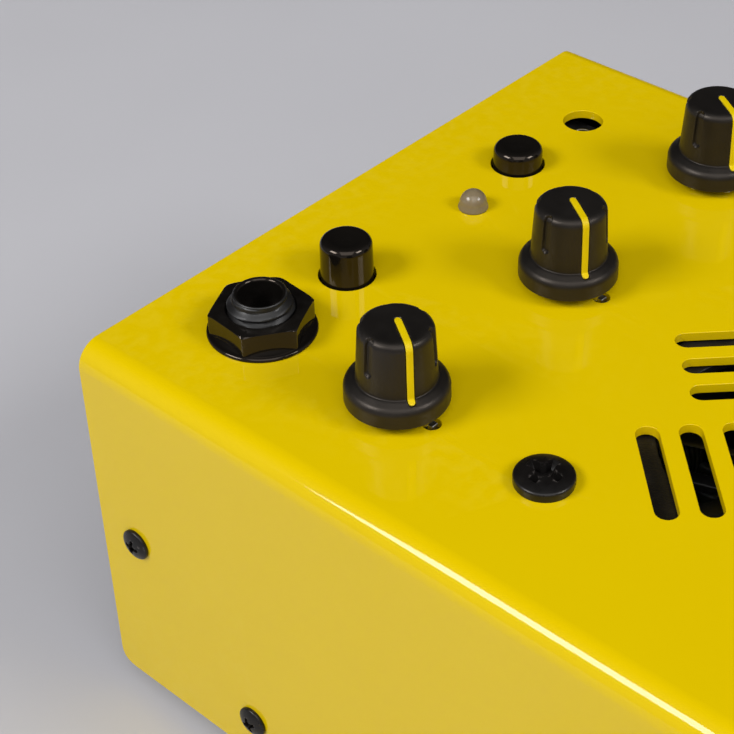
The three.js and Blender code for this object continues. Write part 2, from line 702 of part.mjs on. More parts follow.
// A rocker with two sloping faces that meet in a shallow valley, tipped to its first position.
function powerRocker() {
  const section = outline([[-8, 0], [-4.5, -2.6], [4.5, -2.6], [8, 0], [8, 3.6], [0, 2.7], [-8, 3.6]]);
  return raised(section, -5, 5).rotate([90, 0, 90]).rotate([ROCKER.tilt, 0, 0]);
}

function rearFittings() {
  const rocker = piece("power_rocker", powerRocker(), SATIN_BLACK);
  rocker.position.z = -1;
  return [
    rearAssembly(INLET_X, REAR_Z, piece("mains_inlet", mainsInlet(), SATIN_BLACK)),
    rearAssembly(ROCKER_X, REAR_Z, piece("power_switch_body", powerSwitchBody(), SATIN_BLACK), rocker),
    rearAssembly(SPEAKER_X, REAR_Z, ...jack("speaker", JACK_REAR_STANDS)),
    rearAssembly(LINE_OUT_X, REAR_Z, ...jack("line_out", JACK_REAR_STANDS)),
  ];
}

// ---------------------------------------------------------------- leads inside

const RIBBON = [[24, 37, 49.8], [24, 37, 46], [24, 42, 34], [24, 38, 20], [24, 38, 13.3]];
const ribbonCable = () => swept(outline([[-0.5, -8], [0.5, -8], [0.5, 8], [-0.5, 8]]), RIBBON, 14);

// Each round lead: its radius, the steps along it and its route.
const LEADS = {
  mains_lead: {
    radius: 2.4,
    steps: 16,
    route: [[-34, 57.5, 24], [-36, 50, 26], [-46, 36, 25], [-46, 0, 20], [-45, -40, 19], [-38, -66, 15.6]],
  },
  speaker_lead: {
    radius: 1.6,
    steps: 12,
    route: [[18, 59.5, 24], [18, 54, 25], [8, 46, 24], [2, 40, 20], [2, 34, 14.8]],
  },
  fan_lead: {
    radius: 1,
    steps: 12,
    route: [[19.6, 0, 60.5], [23, 0, 58], [24, 2, 44], [26, 8, 28], [30, 12, 14.2]],
  },
};

// ---------------------------------------------------------------- the whole head

function inside() {
  const sink = piece("heat_sink", heatSink(), ALUMINIUM);
  sink.position.set(VENT_X, VENT_Y, 0);
  const core = piece("transformer", transformer(), CORE_GREY);
  core.position.set(26, -58, 0);
  const storage = piece("reservoir_capacitor", capacitor(), CORE_GREY);
  storage.position.set(-20, -58, AMP_BOARD_TOP + GAP);
  return [
    piece("control_board", controlBoard(), CIRCUIT_GREEN),
    piece("amp_board", ampBoard(), CIRCUIT_GREEN),
    sink,
    core,
    storage,
    fanModule(),
    piece("ribbon_cable", ribbonCable(), RIBBON_GREY),
    ...Object.keys(LEADS).map((name) => piece(name, lead(LEADS[name]), CABLE_GREY)),
  ];
}

function feet() {
  return SIDES.flatMap((side) =>
    ENDS.map((end) => {
      const made = piece(`foot_${end.name}_${side.name}`, foot(), RUBBER);
      made.position.set(side.x * FOOT.x, end.y + end.inward * FOOT.fromEnd, 0);
      return made;
    }),
  );
}

const socketRow = () => [
  assembly(JACK_X, SOCKET_ROW_Y, TOP, ...jack("input", JACK_TOP_STANDS)),
  button(0, BUTTON.out),
  button(1, BUTTON.latched),
  assembly(LED_X, LED_Y, TOP, piece("status_led", statusLed(), LED_GREY)),
  assembly(AUX_X, SOCKET_ROW_Y, TOP, piece("aux_socket", auxSocket(), SATIN_BLACK)),
];

const group = new THREE.Group();
group.add(
  piece("top_cover", topCover(), YELLOW_PAINT),
  piece("base_pan", basePan(), BLACK_PAINT),
  ...feet(),
  ...moduleScrews(),
  ...sideScrews(),
  ...socketRow(),
  ...KNOB_X.map((_, index) => control(index)),
  ...rearFittings(),
  ...inside(),
);

export default group;
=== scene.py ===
import json
from math import atan2, copysign, cos, degrees, hypot, pi, radians, sin, sqrt
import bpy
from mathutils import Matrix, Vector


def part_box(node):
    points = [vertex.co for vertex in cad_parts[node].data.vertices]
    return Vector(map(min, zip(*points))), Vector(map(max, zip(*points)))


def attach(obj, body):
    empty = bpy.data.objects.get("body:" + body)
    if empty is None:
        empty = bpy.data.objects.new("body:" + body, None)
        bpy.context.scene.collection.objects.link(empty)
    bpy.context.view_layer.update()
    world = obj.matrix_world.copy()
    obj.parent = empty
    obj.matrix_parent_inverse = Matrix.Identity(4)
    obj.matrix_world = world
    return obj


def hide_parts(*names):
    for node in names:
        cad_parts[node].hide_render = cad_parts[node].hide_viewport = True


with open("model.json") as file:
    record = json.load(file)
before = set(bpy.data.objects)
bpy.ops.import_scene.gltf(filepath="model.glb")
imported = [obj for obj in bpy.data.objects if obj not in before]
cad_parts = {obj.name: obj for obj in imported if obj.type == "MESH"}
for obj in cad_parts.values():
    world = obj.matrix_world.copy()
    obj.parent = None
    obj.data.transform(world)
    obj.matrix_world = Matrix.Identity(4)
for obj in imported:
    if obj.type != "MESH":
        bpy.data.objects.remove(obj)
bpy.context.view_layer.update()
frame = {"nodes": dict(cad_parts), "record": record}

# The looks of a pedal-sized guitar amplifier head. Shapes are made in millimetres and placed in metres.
from types import SimpleNamespace as Sizes

import bmesh
import bpy
from mathutils import Matrix, Quaternion, Vector

MM = 0.001


def extent(node):
    """A CAD node's lowest and highest corner, in millimetres."""
    low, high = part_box(node)
    return low / MM, high / MM


def middle(node):
    low, high = extent(node)
    return (low + high) / 2


def at(x, y, z):
    return Matrix.Translation((x, y, z))


def over(node, z):
    """The place over a node's middle, at a height."""
    centre = middle(node)
    return at(centre.x, centre.y, z)


def turning(angle, axis="Z"):
    """A turn by so many degrees."""
    return Matrix.Rotation(radians(angle), 4, axis)


# ---- sizes, in millimetres

SHEET = 1.5
GAP = 0.3
COVER_LOW, COVER_HIGH = extent("top_cover")
COVER_MIDDLE = middle("top_cover")
TOP = COVER_HIGH.z
PAN_LOW, PAN_HIGH = extent("base_pan")
REAR_FACE = PAN_HIGH.y
COVER_BEND = 4
PAN_BEND = 1.8
VENT = middle("fan_bracket")
SLOT = Sizes(width=3.25, length=18.2, pitch=5.85, across=15.93, along=5.53)
JACK_BORE = 3.2
JACK_THREAD = 4.85
KNOB = Sizes(skirt=7.34, base=5.65, cap=5.25, edge=1.25, bottom=1.5, shoulder=5.25, top=14.01)
CAVITY = Sizes(radius=6.4, top=3.1, bore=2.8, end=11.3)
GROOVE = Sizes(half=0.62, aside=0, depth=0.42, start=4.55, end=10.7)
CHANNEL = Sizes(half=0.58, aside=0.4, depth=0.3, start=-1.06, end=14.35)
POINTER = Sizes(half=0.475, proud=0.05, deep=0.22, start=-0.95, end=14.25)
LED_RADIUS = 2.15
LED_COLLAR = 2.38
POINTER_ANGLE = 237
CREASE = 32  # the angle in degrees from which an edge shows as sharp

KNOB_NUMBERS = (1, 2, 3)
SCREW_NUMBERS = (1, 2, 3, 4)
SIDES = {"left": -1, "right": 1}
ENDS = {"front": -1, "rear": 1}

# ---- flat outlines


def spun(radius, angle, *height):
    """The point at a radius and an angle, as (x, y) or (x, y, height)."""
    return (radius * cos(angle), radius * sin(angle), *height)


def circle(radius, centre=(0, 0), steps=48):
    return [Vector(point) for point in arc(*centre, radius, 0, 360, steps)[:-1]]


def arc(x, y, radius, first, last, steps):
    """Points round a centre, from one angle to another in degrees."""
    angles = (radians(first + (last - first) * i / steps) for i in range(steps + 1))
    return [(x + radius * cos(a), y + radius * sin(a)) for a in angles]


def moved(outline, centre=(0, 0), turn=0):
    """The outline turned by so many degrees and then moved."""
    rotation = Matrix.Rotation(radians(turn), 2)
    return [rotation @ point + Vector(centre) for point in outline]


def eased(points, radius, steps=4, closed=True):
    """The line with its corners rounded; a point's third value is its own radius."""
    line = []
    for i, point in enumerate(points):
        corner = Vector(point[:2])
        reach = point[2] if len(point) > 2 else radius
        if reach == 0 or not (closed or 0 < i < len(points) - 1):
            line.append(corner)
            continue
        back = Vector(points[i - 1][:2]) - corner
        ahead = Vector(points[(i + 1) % len(points)][:2]) - corner
        reach = min(reach, 0.48 * back.length, 0.48 * ahead.length)
        start = corner + back.normalized() * reach
        end = corner + ahead.normalized() * reach
        for step in range(steps + 1):
            t = step / steps
            line.append(start * (1 - t) ** 2 + corner * 2 * t * (1 - t) + end * t * t)
    return line


def rectangle(width, length, radius, steps=5):
    x, y = width / 2, length / 2
    return eased([(x, -y), (x, y), (-x, y), (-x, -y)], radius, steps)


def slot(width, length, centre=(0, 0), turn=0, steps=10):
    """A slot with round ends, along Y before it is turned."""
    radius = width / 2
    straight = length / 2 - radius
    ends = arc(0, straight, radius, 0, 180, steps) + arc(0, -straight, radius, 180, 360, steps)
    return moved([Vector(point) for point in ends], centre, turn)


def cross(arm, width, nose):
    """The outline of a cross recess, with rounded noses between its arms."""
    half = width / 2
    quarter = [(arm, -half, 0.12), (arm, half, 0.12), (half, half, nose)]
    points = []
    for i in range(4):
        turn = Matrix.Rotation(i * pi / 2, 2)
        points += [(*(turn @ Vector((x, y))), r) for x, y, r in quarter]
    return eased(points, 0, 4)


# ---- solids from outlines


def skin(bm, rings, loop=False, caps=True):
    """Adds a surface through rings of points. A ring of one point is a pole, and open ends are capped."""
    made = [[bm.verts.new(point) for point in ring] for ring in rings]
    following = made[1:] + made[:1] if loop else made[1:]
    for low, high in zip(made, following):
        count = max(len(low), len(high))
        for i in range(count):
            j = (i + 1) % count
            corners = (low[i % len(low)], low[j % len(low)], high[j % len(high)], high[i % len(high)])
            bm.faces.new(list(dict.fromkeys(corners)))
    if caps and not loop:
        for ring in (made[0], made[-1]):
            if len(ring) > 2:
                bm.faces.new(ring)
    return made


def lofted(rings, loop=False):
    bm = bmesh.new()
    skin(bm, rings, loop)
    return bm


def turned(profile, ease=0.0, loop=False, sides=64):
    """A body of revolution about Z, from (radius, height) points."""
    line = eased([(*point[:2], *(point[2:] or (ease,))) for point in profile], ease, 4, loop)
    rings = []
    for radius, height in line:
        flat = circle(radius, steps=sides) if radius > 1e-6 else [Vector((0, 0))]
        rings.append([(*point, height) for point in flat])
    return lofted(rings, loop)


def inset(outline, depth):
    """The outline moved towards its left side."""
    inner = []
    for i, point in enumerate(outline):
        along = outline[(i + 1) % len(outline)] - outline[i - 1]
        inner.append(point + Vector((-along.y, along.x)).normalized() * depth)
    return inner


def plate(outlines, low, high, rim=0.2, steps=3):
    """A slab inside the first outline and outside the others, with rounded rims."""
    bm = bmesh.new()
    quarter = [pi / 2 * i / steps for i in range(steps + 1)] if rim else [pi / 2]
    rise = [(rim * (1 - sin(a)), rim * (1 - cos(a))) for a in quarter]
    levels = [(depth, low + up) for depth, up in rise]
    levels += [(depth, high - up) for depth, up in reversed(rise)]
    lowest, highest = [], []
    for number, outline in enumerate(outlines):
        points = [Vector(point) for point in outline]
        twice_area = sum(a.cross(b) for a, b in zip(points, points[1:] + points[:1]))
        if (twice_area < 0) == (number == 0):
            points.reverse()
        rings = [[(*point, level) for point in inset(points, depth)] for depth, level in levels]
        made = skin(bm, rings, caps=False)
        for edges, ring in ((lowest, made[0]), (highest, made[-1])):
            edges += [bm.edges.get(pair) for pair in zip(ring, ring[1:] + ring[:1])]
    for edges in (lowest, highest):
        bmesh.ops.triangle_fill(bm, use_beauty=True, edges=edges)
    bmesh.ops.dissolve_limit(bm, angle_limit=0.001, verts=bm.verts, edges=bm.edges)
    return bm


def box(width, length, low, high, corner=0.4, rim=0.3):
    return plate([rectangle(width, length, corner)], low, high, rim)


def fold(bm, axis, start, radius, rise, where=lambda point: True, cuts=14):
    """Bends a flat sheet's two ends, beyond start along the axis, a quarter turn up (1) or down (-1)."""
    length = radius * pi / 2
    normal = Vector((axis == 0, axis == 1, 0))
    level = rise * min(rise * vert.co.z for vert in bm.verts)
    for side in (-1, 1):
        for i in range(cuts + 1):
            place = normal * side * (start + length * i / cuts)
            every = bm.verts[:] + bm.edges[:] + bm.faces[:]
            bmesh.ops.bisect_plane(bm, geom=every, plane_co=place, plane_no=normal, dist=1e-4)
    for vert in bm.verts:
        along = vert.co[axis]
        past = abs(along) - start
        if past <= 0 or not where(vert.co):
            continue
        angle = min(past / radius, pi / 2)
        inside = radius + rise * (level - vert.co.z)
        extra = max(0, past - length)
        vert.co[axis] = copysign(start + inside * sin(angle), along)
        vert.co.z = level + rise * (radius - inside * cos(angle) + extra)


def mesh_of(name, bm):
    """A mesh made from the bmesh, which is used up."""
    mesh = bpy.data.meshes.new(name)
    bm.to_mesh(mesh)
    bm.free()
    return mesh


def added(name, data):
    """A new object in the scene."""
    thing = bpy.data.objects.new(name, data)
    bpy.context.scene.collection.objects.link(thing)
    return thing


def joined(*parts):
    """The parts' surfaces in one bmesh; the parts are used up."""
    whole = parts[0]
    for part in parts[1:]:
        mesh = mesh_of("part", part)
        whole.from_mesh(mesh)
        bpy.data.meshes.remove(mesh)
    return whole


def placed(bm, x=0, y=0, z=0, turn=0, axis="Z"):
    bm.transform(at(x, y, z) @ turning(turn, axis))
    return bm


def carved(body, *cutters):
    """The body with the cutters' shapes taken out of it; all are used up."""
    for cutter in cutters:
        objects = []
        for bm in (body, cutter):
            bmesh.ops.recalc_face_normals(bm, faces=bm.faces)
            objects.append(added("carving", mesh_of("carving", bm)))
        difference = objects[0].modifiers.new("difference", "BOOLEAN")
        difference.object = objects[1]
        difference.solver = "EXACT"
        body = bmesh.new()
        body.from_object(objects[0], bpy.context.evaluated_depsgraph_get())
        for piece in objects:
            bpy.data.meshes.remove(piece.data)
    return body


# ---- materials


LOOKS = {}


class Nodes:
    """A node tree with short ways to add nodes and feed their sockets."""

    def __init__(self, owner):
        owner.use_nodes = True
        self.tree = owner.node_tree

    def add(self, kind, settings=None, **inputs):
        node = self.tree.nodes.new("ShaderNode" + kind)
        for name, value in (settings or {}).items():
            setattr(node, name, value)
        self.feed_all(node, inputs)
        return node

    def feed_all(self, node, inputs):
        for name, value in inputs.items():
            self.feed(node.inputs[name.replace("_", " ")], value)

    def feed(self, socket, value):
        if isinstance(value, bpy.types.NodeSocket):
            self.tree.links.new(value, socket)
        else:
            socket.default_value = value


class Look(Nodes):
    """A procedural material under construction."""

    def __init__(self, name, **sockets):
        self.material = bpy.data.materials.new(name)
        super().__init__(self.material)
        self.place = self.add("TexCoord").outputs["Object"]
        self.surface(**sockets)
        LOOKS[name] = self.material

    def surface(self, **inputs):
        self.feed_all(self.tree.nodes["Principled BSDF"], inputs)

    def stretched(self, scale):
        return self.add("Mapping", Vector=self.place, Scale=scale).outputs["Vector"]

    def noise(self, scale, detail=3, vector=None):
        place = vector or self.place
        return self.add("TexNoise", Vector=place, Scale=scale, Detail=detail).outputs["Fac"]

    def spread(self, value, low, high, to_low, to_high):
        """The value's stretch from low to high, as to_low to to_high."""
        return self.add(
            "MapRange", Value=value, From_Min=low, From_Max=high, To_Min=to_low, To_Max=to_high,
        ).outputs["Result"]

    def mix(self, amount, first, second):
        node = self.add("Mix", {"data_type": "RGBA"})
        for socket, value in zip((node.inputs[0], node.inputs[6], node.inputs[7]), (amount, first, second)):
            self.feed(socket, (*value, 1) if isinstance(value, tuple) else value)
        return node.outputs[2]

    def edges(self, low, high):
        """From 0 on flat ground to 1 on a sharp outer edge."""
        return self.spread(self.add("NewGeometry").outputs["Pointiness"], low, high, 0, 1)

    def bump(self, height, depth, below=None):
        """Raises the height field by depth in millimetres, on top of the bump below it."""
        node = self.add("Bump", Height=height, Distance=depth * MM, Strength=1.0)
        if below:
            self.feed(node.inputs["Normal"], below)
        return node.outputs["Normal"]


def finish(name, colours, roughness, grain, wear=None, mottle=45, scratches=0.0, **sockets):
    """A mottled material: two colours, a range of roughness, (size, depth) of grain, and worn edges."""
    look = Look(name, **sockets)
    patches = look.spread(look.noise(mottle, 4), 0.3, 0.7, 0, 1)
    colour = look.mix(patches, *colours)
    smudges = look.spread(look.noise(mottle * 3.7, 5), 0.3, 0.7, *roughness)
    size, depth = grain
    normal = look.bump(look.noise(1 / (size * MM), 2), depth)
    if scratches:
        fine = look.noise(1, 4, look.stretched((160, 2600, 900)))
        normal = look.bump(look.spread(fine, 0.62, 0.72, 0, 1), -scratches, normal)
    if wear:
        tint, amount = wear
        rough_patches = look.spread(look.noise(mottle * 12, 3), 0.4, 0.7, 0, amount)
        edge = look.add("Math", {"operation": "MULTIPLY"})
        look.feed(edge.inputs[0], look.edges(0.52, 0.62))
        look.feed(edge.inputs[1], rough_patches)
        colour = look.mix(edge.outputs[0], colour, tint)
    look.surface(Base_Color=colour, Roughness=smudges, Normal=normal)


def circuit_board():
    """Green solder mask with copper tracks and vias showing through it."""
    look = Look("circuit_board", Coat_Weight=0.6, Coat_Roughness=0.12)
    weave = look.noise(900, 3)
    mask = look.mix(look.spread(weave, 0.35, 0.65, 0, 1), (0.006, 0.075, 0.026), (0.010, 0.105, 0.038))
    squares = look.add(
        "TexVoronoi", {"distance": "CHEBYCHEV", "feature": "F1"}, Vector=look.place, Scale=230
    ).outputs["Distance"]
    tracks = look.spread(squares, 0.42, 0.46, 0, 1)
    vias = look.add("TexVoronoi", Vector=look.place, Scale=260, Randomness=0.5).outputs["Distance"]
    tin = look.spread(vias, 0.1, 0.13, 1, 0)
    colour = look.mix(tracks, mask, (0.02, 0.19, 0.075))
    look.surface(
        Base_Color=look.mix(tin, colour, (0.55, 0.54, 0.5)), Metallic=tin,
        Roughness=look.spread(weave, 0.3, 0.7, 0.3, 0.42),
        Normal=look.bump(tracks, 0.035, look.bump(weave, 0.004)),
    )


def ribbed(name, colours, pitch, direction, roughness):
    """Parallel rounded ridges, such as the conductors of a ribbon cable."""
    look = Look(name)
    wave = look.add(
        "TexWave", {"bands_direction": direction, "wave_profile": "SIN"},
        Vector=look.place, Scale=1 / (pitch * MM * 20) * 2 * pi,
    ).outputs["Fac"]
    look.surface(
        Base_Color=look.mix(look.spread(wave, 0.1, 0.6, 0, 1), *colours),
        Roughness=look.spread(look.noise(70, 4), 0.3, 0.7, *roughness),
        Normal=look.bump(wave, 0.25, look.bump(look.noise(2500), 0.004)),
    )


finish(
    "yellow_paint", ((0.76, 0.54, 0.0), (0.75, 0.53, 0.0)), (0.045, 0.06), (1.3, 0.0004),
    wear=((0.85, 0.66, 0.05), 0.2), Specular_IOR_Level=0.4,
)
finish(
    "black_paint", ((0.005, 0.0045, 0.004), (0.009, 0.008, 0.007)), (0.36, 0.5), (0.4, 0.11),
    wear=((0.05, 0.045, 0.04), 0.6), Specular_IOR_Level=0.35,
)
finish(
    "black_screw", ((0.007, 0.006, 0.0055), (0.014, 0.012, 0.011)), (0.26, 0.36), (0.25, 0.002),
    wear=((0.16, 0.14, 0.13), 0.9), mottle=300, scratches=0.002, Metallic=0.4,
)
finish(
    "gloss_black", ((0.005, 0.0042, 0.0036), (0.007, 0.006, 0.005)), (0.07, 0.12), (0.9, 0.0006),
    wear=((0.03, 0.028, 0.026), 0.5), scratches=0.0004, Specular_IOR_Level=0.4,
    Specular_Tint=(1, 0.82, 0.68, 1),
)
finish(
    "satin_black", ((0.008, 0.0075, 0.0075), (0.012, 0.0115, 0.011)), (0.32, 0.45), (0.2, 0.003),
    wear=((0.05, 0.048, 0.046), 0.6), mottle=120, scratches=0.001,
)
finish(
    "knob_black", ((0.007, 0.0062, 0.0056), (0.011, 0.0098, 0.0088)), (0.34, 0.44), (0.13, 0.009),
    wear=((0.05, 0.046, 0.043), 0.7), mottle=150, Specular_IOR_Level=0.4,
    Specular_Tint=(1, 0.86, 0.74, 1),
)
finish(
    "pointer_yellow", ((0.76, 0.56, 0.0), (0.70, 0.51, 0.0)), (0.34, 0.46), (0.18, 0.004),
    wear=((0.86, 0.74, 0.12), 0.5), mottle=200, Specular_IOR_Level=0.25,
)
finish(
    "led_lens", ((0.36, 0.285, 0.165), (0.42, 0.33, 0.2)), (0.17, 0.24), (0.7, 0.0008), mottle=400,
    IOR=1.54, Transmission_Weight=0.45, Subsurface_Weight=0.35, Subsurface_Scale=0.0015,
    Subsurface_Radius=(1.0, 0.8, 0.7),
)
finish(
    "rubber", ((0.012, 0.012, 0.012), (0.028, 0.027, 0.026)), (0.75, 0.92), (0.3, 0.02), mottle=180,
)
finish(
    "plated_steel", ((0.60, 0.60, 0.58), (0.48, 0.48, 0.47)), (0.22, 0.38), (0.4, 0.003),
    wear=((0.8, 0.8, 0.78), 0.6), scratches=0.002, Metallic=1.0,
)
finish(
    "aluminium", ((0.66, 0.67, 0.68), (0.55, 0.56, 0.57)), (0.3, 0.45), (0.3, 0.004),
    wear=((0.85, 0.85, 0.86), 0.5), scratches=0.004, Metallic=1.0,
)
circuit_board()
finish(
    "ferrite", ((0.028, 0.028, 0.03), (0.05, 0.05, 0.052)), (0.6, 0.8), (0.35, 0.015),
    wear=((0.16, 0.16, 0.165), 0.5), mottle=260,
)
finish(
    "capacitor_sleeve", ((0.012, 0.014, 0.03), (0.018, 0.021, 0.042)), (0.25, 0.36), (0.8, 0.004),
    wear=((0.1, 0.11, 0.16), 0.4), Coat_Weight=0.3, Coat_Roughness=0.15,
)
ribbed("ribbon", ((0.10, 0.10, 0.105), (0.34, 0.34, 0.35)), 1.27, "X", (0.45, 0.6))
finish(
    "cable", ((0.015, 0.015, 0.016), (0.026, 0.026, 0.027)), (0.4, 0.55), (0.6, 0.01), mottle=120,
)

# Every CAD node that stays shown keeps its own finish; a replaced one is hidden.
for cad in frame["record"]["materials"]:
    for node in cad.get("nodes", []):
        data = frame["nodes"][node].data
        data.materials.clear()
        data.materials.append(LOOKS[cad["slot"]])


def show(name, bm, look, place=Matrix(), stands_for=None, body="chassis", rim=0.0):
    """A piece in metres from one or more bmeshes in millimetres; rim rounds its sharp edges."""
    if isinstance(bm, list):
        bm = joined(*bm)
    bmesh.ops.recalc_face_normals(bm, faces=bm.faces)
    bm.transform(Matrix.Scale(MM, 4) @ place)
    mesh = mesh_of(name, bm)
    mesh.polygons.foreach_set("use_smooth", [True] * len(mesh.polygons))
    mesh.set_sharp_from_angle(angle=radians(CREASE))
    mesh.materials.append(LOOKS[look])
    piece = added(name, mesh)
    if rim:
        bevel = piece.modifiers.new("rim", "BEVEL")
        bevel.width = rim * MM
        bevel.segments = 2
        bevel.limit_method = "ANGLE"
        bevel.angle_limit = radians(35)
        bevel.harden_normals = True
    else:
        piece.modifiers.new("shading", "WEIGHTED_NORMAL").keep_sharp = True
    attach(piece, body)
    if stands_for:
        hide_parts(stands_for)


# ---- cover


def side_screws():
    """Each side screw's node, the signs of its side and its end, and its number."""
    for side, sign in SIDES.items():
        for end, end_sign in ENDS.items():
            for number in (1, 2):
                yield f"side_screw_{side}_{end}_{number}", sign, end_sign, number


def cover():
    """One sheet, cut and drilled flat and then folded over both long sides."""
    half = COVER_HIGH.x - COVER_MIDDLE.x
    start = half - COVER_BEND
    flange = start + COVER_BEND * pi / 2 - COVER_BEND + TOP  # the pattern's reach at height 0
    length = COVER_HIGH.y - COVER_LOW.y
    outlines = [rectangle(2 * (flange - COVER_LOW.z), length, 3)]

    def hole(radius, node, dy=0):
        centre = middle(node) - COVER_MIDDLE
        outlines.append(circle(radius, (centre.x, centre.y + dy)))

    hole(JACK_THREAD + GAP, "input_jack_nut")
    hole(2.25, "status_led")
    hole(3.3, "aux_socket")
    for number in (1, 2):
        hole(4.35, f"button_cap_{number}")
    for number in KNOB_NUMBERS:
        hole(3.8, f"pot_nut_{number}")
        hole(1.3, f"pot_nut_{number}", -6.2)
    for number in SCREW_NUMBERS:
        hole(2.3, f"module_screw_{number}")
    for quarter in range(4):
        turn = 45 + 90 * quarter
        for row in (-1, 0, 1):
            centre = Vector((row * SLOT.pitch - SLOT.across, -SLOT.along))
            shape = slot(SLOT.width, SLOT.length, centre)
            outlines.append(moved(shape, (VENT - COVER_MIDDLE).xy, turn))
    for node, sign, _, _ in side_screws():
        screw = middle(node)
        outlines.append(circle(1.8, (sign * (flange - screw.z), screw.y - COVER_MIDDLE.y), 24))
    sheet = plate(outlines, TOP - SHEET, TOP, 0.12)
    fold(sheet, 0, start, COVER_BEND, -1, cuts=20)
    show("cover_sheet", sheet, "yellow_paint", over("top_cover", 0), "top_cover")


# ---- pan


def pan():
    """The bottom, both end walls, the walls' returns and the side lips, folded from one sheet."""
    centre = middle("base_pan")
    half = PAN_HIGH.x - centre.x
    long_half = PAN_HIGH.y - centre.y
    bend_x = half - PAN_BEND
    bend_y = long_half - PAN_BEND
    grow = PAN_BEND * (pi / 2 - 2)  # what a fold adds to the pattern
    slit = 0.3
    inner = bend_x - slit
    lip = half + grow + 14.5
    lip_end = long_half - 15
    back = half + grow + 13
    wall = long_half + grow

    def up_wall(z):
        return wall + z - PAN_LOW.z

    back_low = wall + PAN_BEND + 1
    back_high = up_wall(PAN_HIGH.z - COVER_BEND)
    quarter = [
        (lip, lip_end, 2), (inner, lip_end, 0.1), (inner, lip_end + slit, 0.1), (half, lip_end + slit, 0.3),
        (half, back_low - slit, 0.3), (inner, back_low - slit, 0.1), (inner, back_low, 0.1),
        (back, back_low, 2), (back, back_high, 2), (inner, back_high, 0.1), (inner, back_high + slit, 0.1),
        (half, back_high + slit, 0.3), (half, up_wall(PAN_HIGH.z), 3.8),
    ]
    outline = []
    for sx, sy in ((1, 1), (-1, 1), (-1, -1), (1, -1)):
        corner = [(sx * x, sy * y, r) for x, y, r in quarter]
        outline += corner if sx * sy > 0 else corner[::-1]
    outlines = [eased(outline, 0)]

    outlines += [slot(3, 36, (VENT.x + 7 * i, VENT.y - centre.y)) for i in range(-3, 4)]
    outlines += [slot(3, 26, (7 * i, -up_wall(34))) for i in range(-6, 7)]
    for node, width, height in (("mains_inlet", 27.2, 20.2), ("power_switch_body", 13.6, 20)):
        opening = middle(node)
        outlines.append(moved(rectangle(width, height, 0.8), (opening.x, up_wall(opening.z))))
    for node in ("speaker_jack_nut", "line_out_jack_nut"):
        opening = middle(node)
        outlines.append(circle(JACK_THREAD + GAP, (opening.x, up_wall(opening.z))))
    for node, sign, end_sign, number in side_screws():
        bite = middle(node)
        if number == 1:
            depth = long_half - abs(bite.y - centre.y)
            spot = (sign * (half + grow + depth), end_sign * up_wall(bite.z))
        else:
            spot = (sign * (half + grow + bite.z - PAN_LOW.z), bite.y - centre.y)
        outlines.append(circle(1.5, spot, 20))

    def beside_slits(point):
        y = abs(point.y)
        return y < lip_end + slit / 2 or back_low - slit / 2 < y < back_high + slit / 2

    sheet = plate(outlines, PAN_LOW.z, PAN_LOW.z + SHEET, 0.1, 2)
    fold(sheet, 0, bend_x, PAN_BEND, 1, beside_slits, 6)
    fold(sheet, 1, bend_y, PAN_BEND, 1, cuts=6)
    show("pan_sheet", sheet, "black_paint", over("base_pan", 0), "base_pan")


def feet():
    """Rubber feet, each with a screw at the bottom of its recess."""
    for end in ENDS:
        for side in SIDES:
            node = f"foot_{end}_{side}"
            low, high = extent(node)
            place = over(node, low.z)
            tall = high.z - low.z
            profile = [
                (0, 2.4), (3.4, 2.4, 0.3), (3.7, 0, 0.4), (6.1, 0, 0.8), (7, 1.1, 0.7), (6.6, tall, 0.3),
                (0, tall),
            ]
            show(f"{node}_pad", turned(profile), "rubber", place, node)
            head = turned([(0, 2.35), (2.6, 2.35, 0.2), (2.7, 1.6, 0.5), (1.6, 1.0, 0.6), (0, 0.9)])
            head = carved(head, recess(1.4, 0.8, -1))
            show(f"{node}_screw", head, "plated_steel", place)


# ---- fasteners


def recess(arm, high, way=1):
    """A cross recess that narrows from its mouth; way is 1 for a head that faces up and -1 for down."""
    stages = ((1.03, 0.56, 0.8), (1.0, 0.5, 0.0), (0.95, 0.42, -0.5), (0.66, 0.26, -1.5))
    rings = []
    for reach, width, dz in stages:
        outline = cross(arm * reach, arm * width, arm * 0.45 * reach)
        rings.append([(*point, high + way * dz) for point in outline])
    return lofted(rings)


def screw(head, side, height, shank, length, arm):
    bow = (head ** 2 + (height - side) ** 2) / (2 * (height - side))
    profile = [
        (0, -length), (shank - 0.4, -length, 0.1), (shank, 0.5 - length, 0.1), (shank, 0.02, 0),
        (head - 0.05, 0.02, 0.05), (head, side, 0.3),
    ]
    for share in (0.85, 0.68, 0.5, 0.3, 0.12, 0):
        radius = share * head
        profile.append((radius, height - bow + sqrt(bow ** 2 - radius ** 2), 0.3 if share else 0))
    return carved(turned(profile, 0, sides=64), recess(arm, height * 0.95))


def screws():
    large = screw(4.15, 1.3, 2.3, 1.9, 6, 2.7)
    for number in SCREW_NUMBERS:
        node = f"module_screw_{number}"
        place = over(node, TOP) @ turning(0 if number == 2 else 37 * number)
        show(f"{node}_head", large.copy(), "black_screw", place, node, rim=0.05)
    small = screw(2.6, 0.5, 1.35, 1.4, 5, 1.3)
    for node, sign, end_sign, number in side_screws():
        centre = middle(node)
        face = COVER_LOW.x if sign < 0 else COVER_HIGH.x
        place = at(face, centre.y, centre.z) @ turning(90 * sign, "Y")
        place = place @ turning(31 * number + (53 if end_sign > 0 else 0))
        show(f"{node}_head", small.copy(), "black_screw", place, node, rim=0.04)
    large.free()
    small.free()


# ---- jacks


